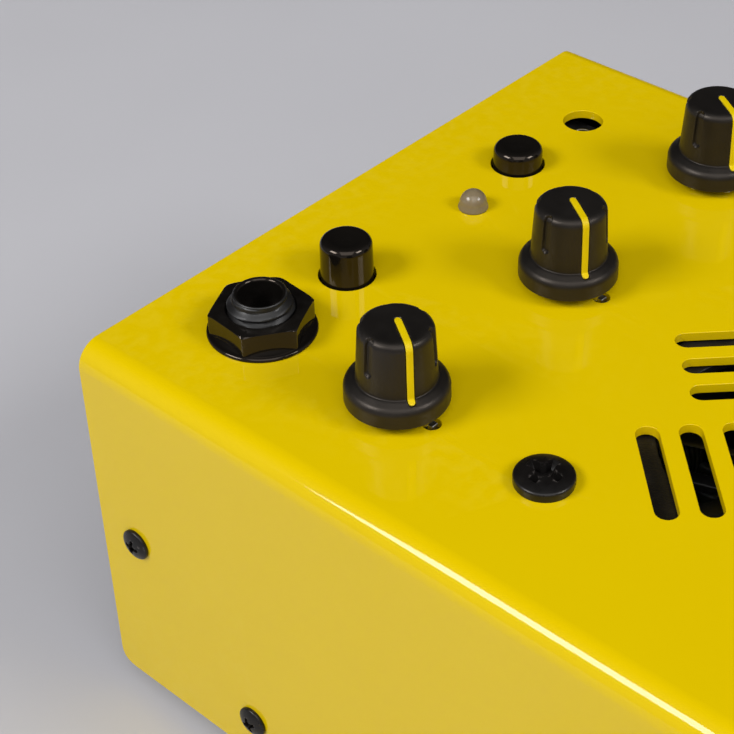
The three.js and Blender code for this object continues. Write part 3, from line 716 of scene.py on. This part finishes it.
def polar(outline):
    """The outline's points as (angle, radius), with extra points along long straight runs."""
    points = []
    for here, ahead in zip(outline, outline[1:] + outline[:1]):
        runs = max(1, round((ahead - here).length / 0.8))
        for i in range(runs):
            point = here.lerp(ahead, i / runs)
            points.append((atan2(point.y, point.x), point.length))
    return points


def hexagon_nut(corner, turn, bore, top, flange=None):
    """A hexagonal nut with chamfered corners, on a conical flange if it has one."""
    rim = polar(eased(arc(0, 0, corner, turn, turn + 360, 6)[:-1], 0.3))
    chamfer = 0.955 * corner
    rings = []

    def ring(radius_of, height_of):
        rings.append([spun(radius_of(flat), angle, height_of(flat)) for angle, flat in rim])

    def round_ring(radius, height):
        ring(lambda flat: radius, lambda flat: height)

    round_ring(bore, GAP + 0.2)
    round_ring(bore + 0.2, GAP)
    if flange:
        edge = flange - 0.6
        round_ring(flange - 0.15, 0.02)
        round_ring(flange, 0.1)
        for x, y in arc(0, 0, 1, 0, 78, 6):
            round_ring(edge + 0.6 * x, 0.22 + 0.44 * y)
        for i in range(1, 6):
            share = i / 5
            ring(lambda flat: edge + (flat - edge) * share, lambda flat: 0.66 + (edge - flat) * share * 0.58)
    else:
        ring(lambda flat: flat, lambda flat: GAP + 0.05)
    ring(lambda flat: flat, lambda flat: top - 0.12 - 0.5 * max(0, flat - chamfer))
    ring(lambda flat: min(flat, chamfer) - 0.03, lambda flat: top - 0.03)
    ring(lambda flat: min(flat, chamfer) - 0.12, lambda flat: top)
    round_ring(bore + 0.22, top)
    round_ring(bore + 0.04, top - 0.16)
    return lofted(rings, loop=True)


def bushing(low, high, thread, bore, tip, pitch, sides):
    """A threaded tube whose thread runs out on a cone at the top."""
    depth = 0.42
    rows = int((high - low) / pitch * 8)

    def outer(angle, z):
        phase = (z / pitch - angle / (2 * pi)) % 1
        crest = 1 - abs(2 * phase - 1)
        lead = tip + (high - 0.35 - z) * 0.7 - depth * (1 - crest)
        return max(bore + 0.35, min(thread - depth * (1 - crest), lead))

    def ring(radius_of, z):
        angles = [2 * pi * i / sides for i in range(sides)]
        return [spun(radius_of(a), a, z) for a in angles]

    rings = [ring(lambda a: bore, low)]
    for row in range(rows + 1):
        z = low + (high - 0.3 - low) * row / rows
        rings.append(ring(lambda a, z=z: outer(a, z), z))
    rings += [ring(lambda a: tip - 0.03, high - 0.1), ring(lambda a: tip - 0.14, high)]
    rings += [ring(lambda a: bore + 0.18, high), ring(lambda a: bore + 0.04, high - 0.12)]
    rings.append(ring(lambda a: bore, high - 0.35))
    return lofted(rings, loop=True)


def jack(name, place, stands):
    """A jack behind a panel whose outer face is at z = 0, with its nut."""
    body = plate([rectangle(15.5, 15.5, 1), circle(JACK_BORE)], -25.8, -SHEET - GAP, 0.3)
    lugs = [placed(box(1.2, 4, -30.5, -25.9, 0.3, 0.2), 4.5 * i, 5) for i in (-1, 0, 1)]
    floor = turned([(0, -25.7), (JACK_BORE - 0.1, -25.7), (JACK_BORE - 0.1, -24), (0, -24)])
    show(f"{name}_housing", [body, floor, *lugs], "satin_black", place, f"{name}_body")
    low = -SHEET - GAP + 0.01
    tube = bushing(low, stands, JACK_THREAD + 0.1, JACK_BORE + 0.3, 3.95, 1.2, 72)
    show(f"{name}_bushing", tube, "satin_black", place)
    lip = 0.5
    outside = JACK_BORE + 0.28
    liner = [(JACK_BORE, low), *arc(JACK_BORE + lip, stands - lip, lip, 180, 90, 6)]
    liner += [(JACK_BORE + 0.6, stands - 0.15), (outside, stands - 0.6), (outside, low)]
    show(f"{name}_liner", turned(liner, loop=True), "gloss_black", place)
    nut = hexagon_nut(7.8, -95, JACK_THREAD + 0.14, 4, 8.1)
    show(f"{name}_flange_nut", nut, "gloss_black", place, f"{name}_nut")


# ---- buttons, light and small socket


def buttons():
    for number in (1, 2):
        node = f"button_cap_{number}"
        low, high = extent(node)
        foot = low.z - high.z
        profile = [(0, foot), (1.6, foot, 0.3), (1.6, -9.3), (4, -9.3, 0.3), (4, -6, 0.3)]
        profile += arc(2.8, -1.15, 1.15, 0, 90, 6)
        profile += [(2.5, -0.02, 0.2), (1.7, -0.3, 0.7), (0.55, -0.36, 0.1), (0.45, -0.4, 0.05), (0, -0.4)]
        place = over(node, high.z + 0.2)
        show(f"{node}_cap", turned(profile), "gloss_black", place, node, f"button_{number}")
        switch = f"button_switch_{number}"
        low, high = extent(switch)
        case = carved(
            box(9, 9, low.z, high.z, 0.6, 0.25),
            turned([(0, low.z + 2), (1.95, low.z + 2), (1.95, high.z + 1), (0, high.z + 1)]),
        )
        clip = box(9.3, 2.2, high.z - 3, high.z - 1.2, 0.2, 0.1)
        pins = [placed(box(0.6, 0.4, low.z - 2.2, low.z + 0.5, 0.1, 0.1), 2.5 * i, 3 * j)
                for i in (-1, 0, 1) for j in (-1, 1)]
        place = over(node, 0)
        show(f"{switch}_case", [case, clip], "satin_black", place, switch)
        show(f"{switch}_pins", pins, "plated_steel", place)


def light():
    low, high = extent("status_led")
    place = over("status_led", TOP)
    top = high.z - TOP
    profile = [
        (0, -4.5), (1.95, -4.5, 0.2), (1.95, 0.05, 0.05), (LED_COLLAR, 0.05, 0.1), (LED_COLLAR, 0.3, 0.2),
        (LED_RADIUS + 0.04, 0.85, 0.3), *arc(0, top - LED_RADIUS, LED_RADIUS, 0, 80, 8), (0, top),
    ]
    show("status_led_lens", turned(profile), "led_lens", place, "status_led")
    legs = [placed(box(0.5, 0.5, low.z - TOP, -4.4, 0.1, 0.05), x) for x in (-1.27, 1.27)]
    show("status_led_legs", legs, "plated_steel", place)


def small_socket():
    """A 3.5 mm socket whose collar sits recessed in its hole."""
    low, _ = extent("aux_socket")
    place = over("aux_socket", TOP)
    case = plate([rectangle(9, 11, 0.5), circle(1.85)], low.z - TOP, -3.6, 0.2)
    collar = turned([(1.85, -3.55), (2.95, -3.55, 0.1), (2.95, -3.1, 0.2), (1.85, -3.1, 0.2)], loop=True)
    show("aux_socket_case", [case, collar], "satin_black", place, "aux_socket")
    ring = turned([(1.78, -2.6), (1.5, -2.6), (1.5, -9), (1.78, -9)], 0.05, loop=True)
    show("aux_socket_contact", ring, "plated_steel", place)


# ---- knobs


def knob_line():
    """The knob's outer profile from the middle of its top down to its foot, as (radius, height)."""
    k = KNOB
    line = [(0, k.top), (1.5, k.top - 0.02, 0.6)]
    line += [(*point, 0) for point in arc(k.cap - k.edge, k.top - 0.12 - k.edge, k.edge, 88, 3.2, 8)]
    line += [
        (k.base, k.shoulder, 0.18), (5.95, k.shoulder - 0.1, 0.2), (6.98, k.shoulder - 0.72, 0.35),
        (k.skirt, k.shoulder - 1.35, 0.5), (k.skirt + 0.01, k.bottom + 0.12, 0.12),
        (k.skirt - 0.3, k.bottom, 0.1),
    ]
    return eased(line, 0.2, 6, closed=False)


class Profile:
    """A line resampled by its length, with the outward normal at any place on it."""

    def __init__(self, line):
        self.line = line
        self.reach = [0.0]
        for a, b in zip(line, line[1:]):
            self.reach.append(self.reach[-1] + (b - a).length)

    def at(self, along):
        last = len(self.line) - 2
        i = next(i for i in range(last + 1) if along <= self.reach[i + 1] or i == last)
        span = self.reach[i + 1] - self.reach[i] or 1
        point = self.line[i].lerp(self.line[i + 1], (along - self.reach[i]) / span)
        direction = (self.line[i + 1] - self.line[i]).normalized()
        return point, Vector((-direction.y, direction.x))


def trough(across, along, shape):
    """How deep a round-ended trough is at a place beside and along its line."""
    beyond = max(shape.start + shape.half - along, along - shape.end + shape.half, 0)
    edge = hypot(across - shape.aside, beyond) / shape.half
    fall = min(max((1.12 - edge) / 0.3, 0), 1)
    return shape.depth * fall * fall * (3 - 2 * fall)


def knob_angles():
    """Angles from the pointer, close together near it and near the grooves."""
    near = (0, 1.5, 3, 4.2, 5.1, 5.8, 6.5, 7.2, 8.2, 10)
    angles = set()
    for groove in range(6):
        centre = 60 * groove if groove else degrees(CHANNEL.aside / KNOB.cap)
        for offset in near:
            angles |= {centre + offset, (centre - offset) % 360}
        angles |= {centre + 10 + 5 * i for i in range(1, 8)}
    return [radians(angle) for angle in sorted(angles)]


def knob_cap():
    """A skirted knob with five grooves, and a channel for the pointer along local +X."""
    profile = Profile(knob_line())
    angles = knob_angles()
    stops = set(profile.reach[1:])
    stops |= {0.12 * (i + 1) for i in range(10)}
    stops |= {1.3 + 0.2 * i for i in range(int((profile.reach[-1] - 1.4) / 0.2))}
    last = -1.0
    rings = [[(0, 0, KNOB.top)]]
    for along in sorted(stops):
        if along - last < 0.06:
            continue
        last = along
        point, normal = profile.at(along)
        ring = []
        for angle in angles:
            depth = 0.0
            for groove in range(6):
                off = angle - radians(60 * groove)
                if groove and cos(off) < 0:
                    continue
                shape = GROOVE if groove else CHANNEL
                depth = max(depth, trough(point.x * sin(off), along * cos(off), shape))
            radius = point.x - normal.x * depth
            ring.append(spun(radius, angle, point.y - normal.y * depth))
        rings.append(ring)
    c = CAVITY
    under = eased([
        (c.radius, KNOB.bottom), (c.radius, c.top, 0.3), (c.bore, c.top, 0.2), (c.bore, c.end),
    ], 0.2, 3, closed=False)
    for radius, height in under:
        rings.append([spun(radius, angle, height) for angle in angles])
    rings.append([(0, 0, c.end)])
    return lofted(rings)


def pointer_strip():
    """The inlaid pointer: a thin strip with round ends that follows the knob's profile."""
    profile = Profile(knob_line())
    p = POINTER
    steps = 72
    length = p.end - p.start
    round_part = [p.half * (1 - cos(pi / 2 * i / 6)) for i in range(7)]
    places = round_part + [p.half + (length - 2 * p.half) * i / steps for i in range(1, steps)]
    places += [length - d for d in reversed(round_part)]
    rings = []
    for place in places:
        along = p.start + place
        point, normal = profile.at(abs(along))
        if along < 0:
            point, normal = Vector((-point.x, point.y)), Vector((-normal.x, normal.y))
        from_end = min(place, length - place, p.half)
        half = sqrt(max(p.half ** 2 - (p.half - from_end) ** 2, 0.0004))
        section = [
            (-half, -p.deep), (-half, p.proud - 0.07), (-half * 0.88, p.proud - 0.015),
            (-half * 0.5, p.proud), (half * 0.5, p.proud), (half * 0.88, p.proud - 0.015),
            (half, p.proud - 0.07), (half, -p.deep),
        ]
        rings.append([
            (point.x + normal.x * up, CHANNEL.aside + side, point.y + normal.y * up) for side, up in section
        ])
    return lofted(rings)


def potentiometer(place, number):
    body = f"pot_body_{number}"
    low, _ = extent(body)
    case = box(12.5, 12, -9.3, -2.9, 0.8, 0.3)
    cap = plate([rectangle(12.8, 12.3, 0.9), circle(3.9)], -3.0, -SHEET - GAP, 0.2)
    sleeve = bushing(-3, 2.5, 3.5, 2.65, 3.2, 0.75, 48)
    tab = placed(box(1.2, 0.9, -2.2, 0.1, 0.15, 0.1), 0, -6.35)
    show(f"{body}_case", [cap, sleeve, tab], "plated_steel", place, body)
    show(f"{body}_carrier", case, "satin_black", place)
    legs = [placed(box(0.8, 0.4, low.z - TOP, -8.6, 0.1, 0.05), x, -5) for x in (-4, 0, 4)]
    show(f"{body}_legs", legs, "plated_steel", place)
    nut = hexagon_nut(5.77, 0, 3.8, GAP + 1.8)
    show(f"pot_nut_{number}_hexagon", nut, "plated_steel", place, f"pot_nut_{number}")


def knobs():
    cap = knob_cap()
    strip = pointer_strip()
    for number in KNOB_NUMBERS:
        place = over(f"pot_nut_{number}", TOP)
        turn = place @ turning(POINTER_ANGLE)
        knob = f"knob_{number}"
        show(f"{knob}_cap", cap.copy(), "knob_black", turn, knob, knob)
        show(f"{knob}_pointer", strip.copy(), "pointer_yellow", turn, f"knob_pointer_{number}", knob)
        shaft = [(0, -7.5), (2.5, -7.5, 0.2), (2.5, 11, 0.5), (0, 11)]
        split = box(6, 0.8, 4.5, 13, 0.05, 0)
        show(f"{knob}_shaft", carved(turned(shaft), split), "aluminium", turn, f"pot_shaft_{number}", knob)
        potentiometer(place, number)
    cap.free()
    strip.free()


# ---- rear fittings


def rear(node):
    """The place of a fitting on the rear wall, its own +Z pointing out of it."""
    centre = middle(node)
    return at(centre.x, REAR_FACE, centre.z) @ turning(-90, "X")


def inlet_outline(width, height, chamfer, radius):
    x, y = width / 2, height / 2
    points = [(x, -y), (x, y - chamfer), (x - chamfer, y), (chamfer - x, y), (-x, y - chamfer), (-x, -y)]
    return eased(points, radius)


def cup(outer, inner, floor, low, high):
    """A tray with a flat bottom: its inside floor, its rim and its outside."""
    rings = [
        (inset(inner, 0.4), floor), (inner, floor + 0.4), (inner, high - 0.15), (inset(inner, -0.15), high),
        (inset(outer, 0.15), high), (outer, high - 0.15), (outer, low + 0.4), (inset(outer, 0.4), low),
    ]
    return lofted([[(*point, level) for point in outline] for outline, level in rings])


def mains_inlet():
    place = rear("mains_inlet")
    mouth = inlet_outline(24.2, 16.2, 4, 0.8)
    flange = plate([rectangle(31, 24, 3), mouth], GAP, 2.6, 0.35)
    shell = cup(inlet_outline(26.6, 19.6, 4, 1.2), mouth, -15, -21, 2.2)
    show("mains_inlet_shell", [flange, shell], "satin_black", place, "mains_inlet")
    pins = [placed(box(2, 4, -15.2, -2.8, 0.5, 0.6), 7 * i, 2 if i else -2) for i in (-1, 0, 1)]
    pins += [placed(plate([rectangle(0.9, 6.3, 0.3), circle(0.3, (0, 0), 8)], -28, -20.8, 0.15), 7 * i)
             for i in (-1, 0, 1)]
    show("mains_inlet_pins", pins, "plated_steel", place)


def power_switch():
    place = rear("power_switch_body")
    well = rectangle(10.8, 17.8, 0.6)
    bezel = plate([rectangle(15, 21, 1.5), well], GAP, 2.2, 0.45)
    shell = cup(rectangle(13, 19.4, 0.8), well, -7, -14, 1.9)
    show("power_switch_bezel", [bezel, shell], "satin_black", place, "power_switch_body")
    tabs = [placed(box(4.8, 0.9, -20, -13.8, 0.3, 0.2), 0, y) for y in (-5, 5)]
    show("power_switch_tabs", tabs, "plated_steel", place)

    dish = [(8 - 16 * i / 16, 3.6 - 0.9 * (1 - (1 - i / 8) ** 2)) for i in range(17)]
    section = eased([(-8, 0), (-4.5, -2.6), (4.5, -2.6), (8, 0)], 0.4)
    face = eased([(8, 3.6), *dish[1:-1], (-8, 3.6)], 0.25)
    rocker = plate([section + face], -5, 5, 0.35)
    rocker.transform(turning(90) @ turning(90, "X"))
    bar = placed(box(0.6, 2.8, 0, 3.35, 0.2, 0.05), 0, 4.2)
    ring = placed(plate([circle(1.5), circle(1.05)], 0, 3.35, 0.05), 0, -4.2)
    tilt = place @ at(0, 0, -1) @ turning(10, "X")
    show("power_rocker_button", rocker, "satin_black", tilt, "power_rocker", "rocker")
    show("power_rocker_marks", [bar, ring], "ribbon", tilt, body="rocker")


# ---- inside


def fan():
    """The bracket under the vent, the fan's frame with its motor struts, and its rotor."""
    low, high = extent("fan_bracket")
    place = over("fan_bracket", 0)
    corners = [(x, y) for x in (-1, 1) for y in (-1, 1)]
    holes = [circle(1.7, (20 * x, 20 * y), 20) for x, y in corners]
    screw_holes = [circle(2.3, (30.4 * x, 21.3 * y), 20) for x, y in corners]
    size = high - low
    sheet = plate([rectangle(size.x, size.y, 3), circle(20.5), *holes, *screw_holes], low.z, high.z, 0.2)
    show("fan_bracket_plate", sheet, "black_paint", place, "fan_bracket")

    low, high = extent("fan_frame")
    ring = plate([rectangle(50, 50, 3), circle(24.2, steps=64), *holes], low.z, high.z, 0.5)
    motor = turned([(0, low.z), (10, low.z, 0.3), (10.2, low.z + 1.6, 0.4), (0, low.z + 1.6)])
    arms = [placed(placed(box(15.5, 2.4, low.z, low.z + 1.5, 0.3), 17), turn=20 + 90 * i) for i in range(4)]
    show("fan_frame_moulding", [ring, motor, *arms], "satin_black", place, "fan_frame")

    low, high = extent("fan_rotor")
    hub = [
        (0, low.z), (9.2, low.z, 0.3), (10, low.z + 0.8, 0.5), (10, high.z, 0.8), (5.4, high.z, 0.3),
        (5.2, high.z - 0.25, 0.1), (0, high.z - 0.25),
    ]
    blades = [fan_blade(low.z, high.z, 360 * i / 7) for i in range(7)]
    show("fan_rotor_blades", [turned(hub), *blades], "satin_black", place, "fan_rotor", "fan_rotor")


def fan_blade(low, high, turn):
    """A twisted blade of thin rounded sections from the hub to the tip."""
    rings = []
    for i in range(9):
        share = i / 8
        radius = 9.2 + 14.0 * share
        pitch = radians(46 - 18 * share)
        chord = 8.6 + 2.6 * share
        section = []
        for step in range(20):
            angle = 2 * pi * step / 20
            along = chord / 2 * cos(angle)
            thick = 0.55 * sin(angle) * (1.15 - 0.35 * cos(angle)) + 0.5 * (1 - (2 * along / chord) ** 2)
            across = along * cos(pitch) - thick * sin(pitch)
            lift = along * sin(pitch) + thick * cos(pitch)
            bend = across / radius
            height = min(max((low + high) / 2 + lift, low + 0.1), high - 0.1)
            section.append(spun(radius, bend, height))
        rings.append(section)
    return placed(lofted(rings), turn=turn)


def boards():
    low, high = extent("control_board")
    centre = middle("control_board")
    jack_place = middle("input_jack_nut")
    size = high - low
    x, y = size.x / 2, size.y / 2
    cut_x = jack_place.x + 8.75 - centre.x
    cut_y = jack_place.y - 8.75 - centre.y
    outline = [(x, -y), (x, y), (cut_x, y), (cut_x, cut_y), (-x, cut_y), (-x, -y)]
    control = plate([eased(outline, 0.8)], low.z, high.z, 0.15)
    place = over("control_board", 0)
    show("control_board_panel", control, "circuit_board", place, "control_board")
    chips(place, low.z)

    low, high = extent("amp_board")
    centre = middle("amp_board")
    size = high - low
    supports = [(x, y) for x in (-46, 46) for y in (COVER_LOW.y + 18, 46)]
    holes = [circle(1.6, (x - centre.x, y - centre.y), 20) for x, y in supports]
    amp = plate([rectangle(size.x, size.y, 1.5), *holes], low.z, high.z, 0.15)
    show("amp_board_panel", amp, "circuit_board", over("amp_board", 0), "amp_board")
    foot, head = PAN_LOW.z + SHEET, low.z - GAP
    post = [(0, foot), (3, foot, 0.2), (3, head, 0.2), (0, head)]
    posts = [placed(turned(post, sides=32), x, y) for x, y in supports]
    show("amp_board_posts", posts, "plated_steel")


def chips(place, level):
    """Two rows of small packages under the control board."""
    cases = []
    for i in range(7):
        for j in (-1, 1):
            tall = 1.6 if (i + j) % 3 else 2.6
            case = box(6.2 if i % 2 else 4, 4, 0.05, tall, 0.3, 0.2)
            placed(case, 14 * (i - 3), 9.6 * j)
            case.transform(at(0, 0, level) @ Matrix.Diagonal((1, 1, -1, 1)))
            cases.append(case)
    show("control_board_parts", cases, "ferrite", place)


def power_parts():
    """The heat sink, the transformer with its winding, and the reservoir capacitor."""
    low, high = extent("heat_sink")
    half = (high.x - low.x) / 2
    comb = [(-half, 0, 0.4), (-half, 4, 0.4)]
    for x in range(-20, 21, 5):
        comb += [(x - 0.8, 4, 0.6), (x - 0.7, 26.98, 0.5), (x + 0.7, 26.98, 0.5), (x + 0.8, 4, 0.6)]
    comb += [(half, 4, 0.4), (half, 0, 0.4)]
    sink = placed(plate([eased(comb, 0.3)], -25, 25, 0.2), turn=90, axis="X")
    show("heat_sink_extrusion", sink, "aluminium", over("heat_sink", low.z), "heat_sink")

    place = over("transformer", extent("transformer")[0].z)
    windows = [moved(rectangle(5.4, 14.6, 0.4), (x, 0)) for x in (-7, 7)]
    core = placed(plate([rectangle(28, 22, 0.6), *windows], -5.5, 5.5, 0.25), 0, 0, 12, 90, "X")
    show("transformer_core", core, "ferrite", place, "transformer")
    winding = lofted([
        [(*point, level) for point in rectangle(19 + swell, 27 + swell, 4)]
        for level, swell in ((5, -0.8), (5.4, 0), (8, 0.7), (11, 0.8), (14, 0.5), (17.6, 0), (18, -0.8))
    ])
    bobbin = [box(20, 24, z, z + 1.2, 2) for z in (0.1, 3.6, 18.2)]
    show("transformer_winding", winding, "capacitor_sleeve", place)
    show("transformer_bobbin", bobbin, "satin_black", place)

    low, high = extent("reservoir_capacitor")
    place = over("reservoir_capacitor", low.z)
    tall = high.z - low.z
    sleeve = turned([
        (6.8, 0.3, 0.3), (8.6, 0, 0.5), (9, 1.2, 0.4), (9, 2.6, 0.4), (8.55, 3.1, 0.3), (9, 3.6, 0.4),
        (9, tall - 0.5, 0.6), (7.9, tall - 0.1, 0.2), (7.7, tall - 0.5, 0.1), (6.8, 1, 0.1),
    ], loop=True)
    show("reservoir_capacitor_sleeve", sleeve, "capacitor_sleeve", place, "reservoir_capacitor")
    end = turned([(0, tall - 1.4), (7.6, tall - 1.4, 0.1), (7.6, tall - 0.5, 0.4), (0, tall - 0.35)])
    score = [box(11, 0.5, tall - 0.6, tall + 1, 0.1, 0), box(0.5, 11, tall - 0.6, tall + 1, 0.1, 0)]
    show("reservoir_capacitor_end", carved(end, *score), "aluminium", place)


# The leads' routes, from end to end, and their diameters.
ROUTES = {
    "mains_lead": (4.8, [
        (-34, 57.5, 24), (-36, 50, 26), (-46, 36, 25), (-46, 0, 20), (-45, -40, 19), (-38, -66, 15.6),
    ]),
    "speaker_lead": (3.2, [(18, 59.5, 24), (18, 54, 25), (8, 46, 24), (2, 40, 20), (2, 34, 14.8)]),
    "fan_lead": (2, [(19.6, 0, 60.5), (23, 0, 58), (24, 2, 44), (26, 8, 28), (30, 12, 14.2)]),
    "ribbon_cable": (1, [(24, 37, 49.8), (24, 37, 46), (24, 42, 34), (24, 38, 20), (24, 38, 13.3)]),
}


def smooth(points, steps=12):
    """A Catmull-Rom curve through the points."""
    path = [Vector(point) for point in points]
    path = [2 * path[0] - path[1], *path, 2 * path[-1] - path[-2]]
    line = []
    for a, b, c, d in zip(path, path[1:], path[2:], path[3:]):
        for i in range(steps):
            t = i / steps
            line.append(0.5 * (
                2 * b + (c - a) * t + (2 * a - 5 * b + 4 * c - d) * t ** 2 + (3 * b - a - 3 * c + d) * t ** 3
            ))
    return [*line, path[-2]]


def lead(route, outline):
    """An outline carried along a route without twisting."""
    line = smooth(route)
    across = Vector((1, 0, 0))
    rings = []
    for i, point in enumerate(line):
        ahead = line[min(i + 1, len(line) - 1)] - line[max(i - 1, 0)]
        other = ahead.cross(across).normalized()
        across = other.cross(ahead).normalized()
        rings.append([tuple(point + across * x + other * y) for x, y in outline])
    return lofted(rings)


def leads():
    for node, (diameter, route) in ROUTES.items():
        flat = node == "ribbon_cable"
        outline = rectangle(16, diameter, 0.4) if flat else circle(diameter / 2, steps=16)
        look = "ribbon" if flat else "cable"
        show(f"{node}_run", lead(route, outline), look, stands_for=node)


# ---- floor, light and camera


ROOM = 0.3  # the room's brightness
# Each light's name, direction from the object, distance and size in metres, and power in watts.
LAMPS = (
    ("front_softbox", (0.21, -0.73, 0.65), 1.7, (0.6, 0.48), 10.9),
    ("left_softbox", (-0.69, 0.33, 0.645), 1.7, (0.72, 0.5), 15.4),
    ("overhead_fill", (-0.42, -0.4, 0.81), 1.8, (1.5, 1.5), 11.8),
)


def stage():
    floor = bmesh.new()
    rings = []
    for radius in (0.02, 0.3, 0.8, 2.0, 5.0, 12.0):
        rings.append([(*point, 0) for point in circle(radius, steps=64)])
    skin(floor, [[(0, 0, 0)], *rings], caps=False)
    ground = added("floor", mesh_of("floor", floor))
    finish("floor_paper", ((0.59, 0.585, 0.615), (0.57, 0.565, 0.595)), (0.5, 0.6), (0.8, 0.01), mottle=6)
    ground.data.materials.append(LOOKS["floor_paper"])


def studio():
    """A dim room, darkest behind the object on the right."""
    world = bpy.data.worlds.new("studio")
    bpy.context.scene.world = world
    nodes = Nodes(world)
    towards = nodes.add("VectorMath", {"operation": "DOT_PRODUCT"})
    nodes.feed(towards.inputs[0], nodes.add("TexCoord").outputs["Generated"])
    nodes.feed(towards.inputs[1], Vector((0.62, 0.6, 0.5)).normalized())
    fade = nodes.add(
        "MapRange", {"interpolation_type": "SMOOTHSTEP"}, Value=towards.outputs["Value"],
        From_Min=0.1, From_Max=0.8, To_Min=ROOM, To_Max=0.02 * ROOM,
    )
    background = {"Color": (1, 1, 1.03, 1), "Strength": fade.outputs["Result"]}
    nodes.feed_all(nodes.tree.nodes["Background"], background)


def facing(thing, location, rotation):
    thing.location = location
    thing.rotation_mode = "QUATERNION"
    thing.rotation_quaternion = rotation


def softbox(name, direction, distance, size, power):
    """A rectangular light that faces the middle of the top panel."""
    data = bpy.data.lights.new(name, "AREA")
    data.shape = "RECTANGLE"
    data.size, data.size_y = size
    data.energy = power
    away = Vector(direction).normalized()
    facing(added(name, data), Vector((0, 0, TOP)) * MM + away * distance, away.to_track_quat("Z", "Y"))


def camera():
    """The view over the front left corner, 38 degrees down, with a long lens."""
    heading, down, roll = radians(46.35), radians(38.45), radians(-1.816)
    forward = Vector((sin(heading) * cos(down), cos(heading) * cos(down), -sin(down)))
    data = bpy.data.cameras.new("camera")
    data.lens = 89.62
    data.sensor_width = 36
    data.clip_start = 0.01
    eye = added("camera", data)
    rotation = forward.to_track_quat("-Z", "Y") @ Quaternion((0, 0, 1), roll)
    facing(eye, Vector((-179.07, -84.31, 227.78)) * MM, rotation)
    bpy.context.scene.camera = eye


camera()
stage()
studio()
for lamp in LAMPS:
    softbox(*lamp)
bpy.context.scene.view_settings.view_transform = "Standard"

cover()
pan()
feet()
screws()
jack("input_jack", over("input_jack_nut", TOP), 6.5)
jack("speaker_jack", rear("speaker_jack_nut"), 4.59)
jack("line_out_jack", rear("line_out_jack_nut"), 4.59)
buttons()
light()
small_socket()
knobs()
mains_inlet()
power_switch()
fan()
boards()
power_parts()
leads()

bpy.context.view_layer.update()
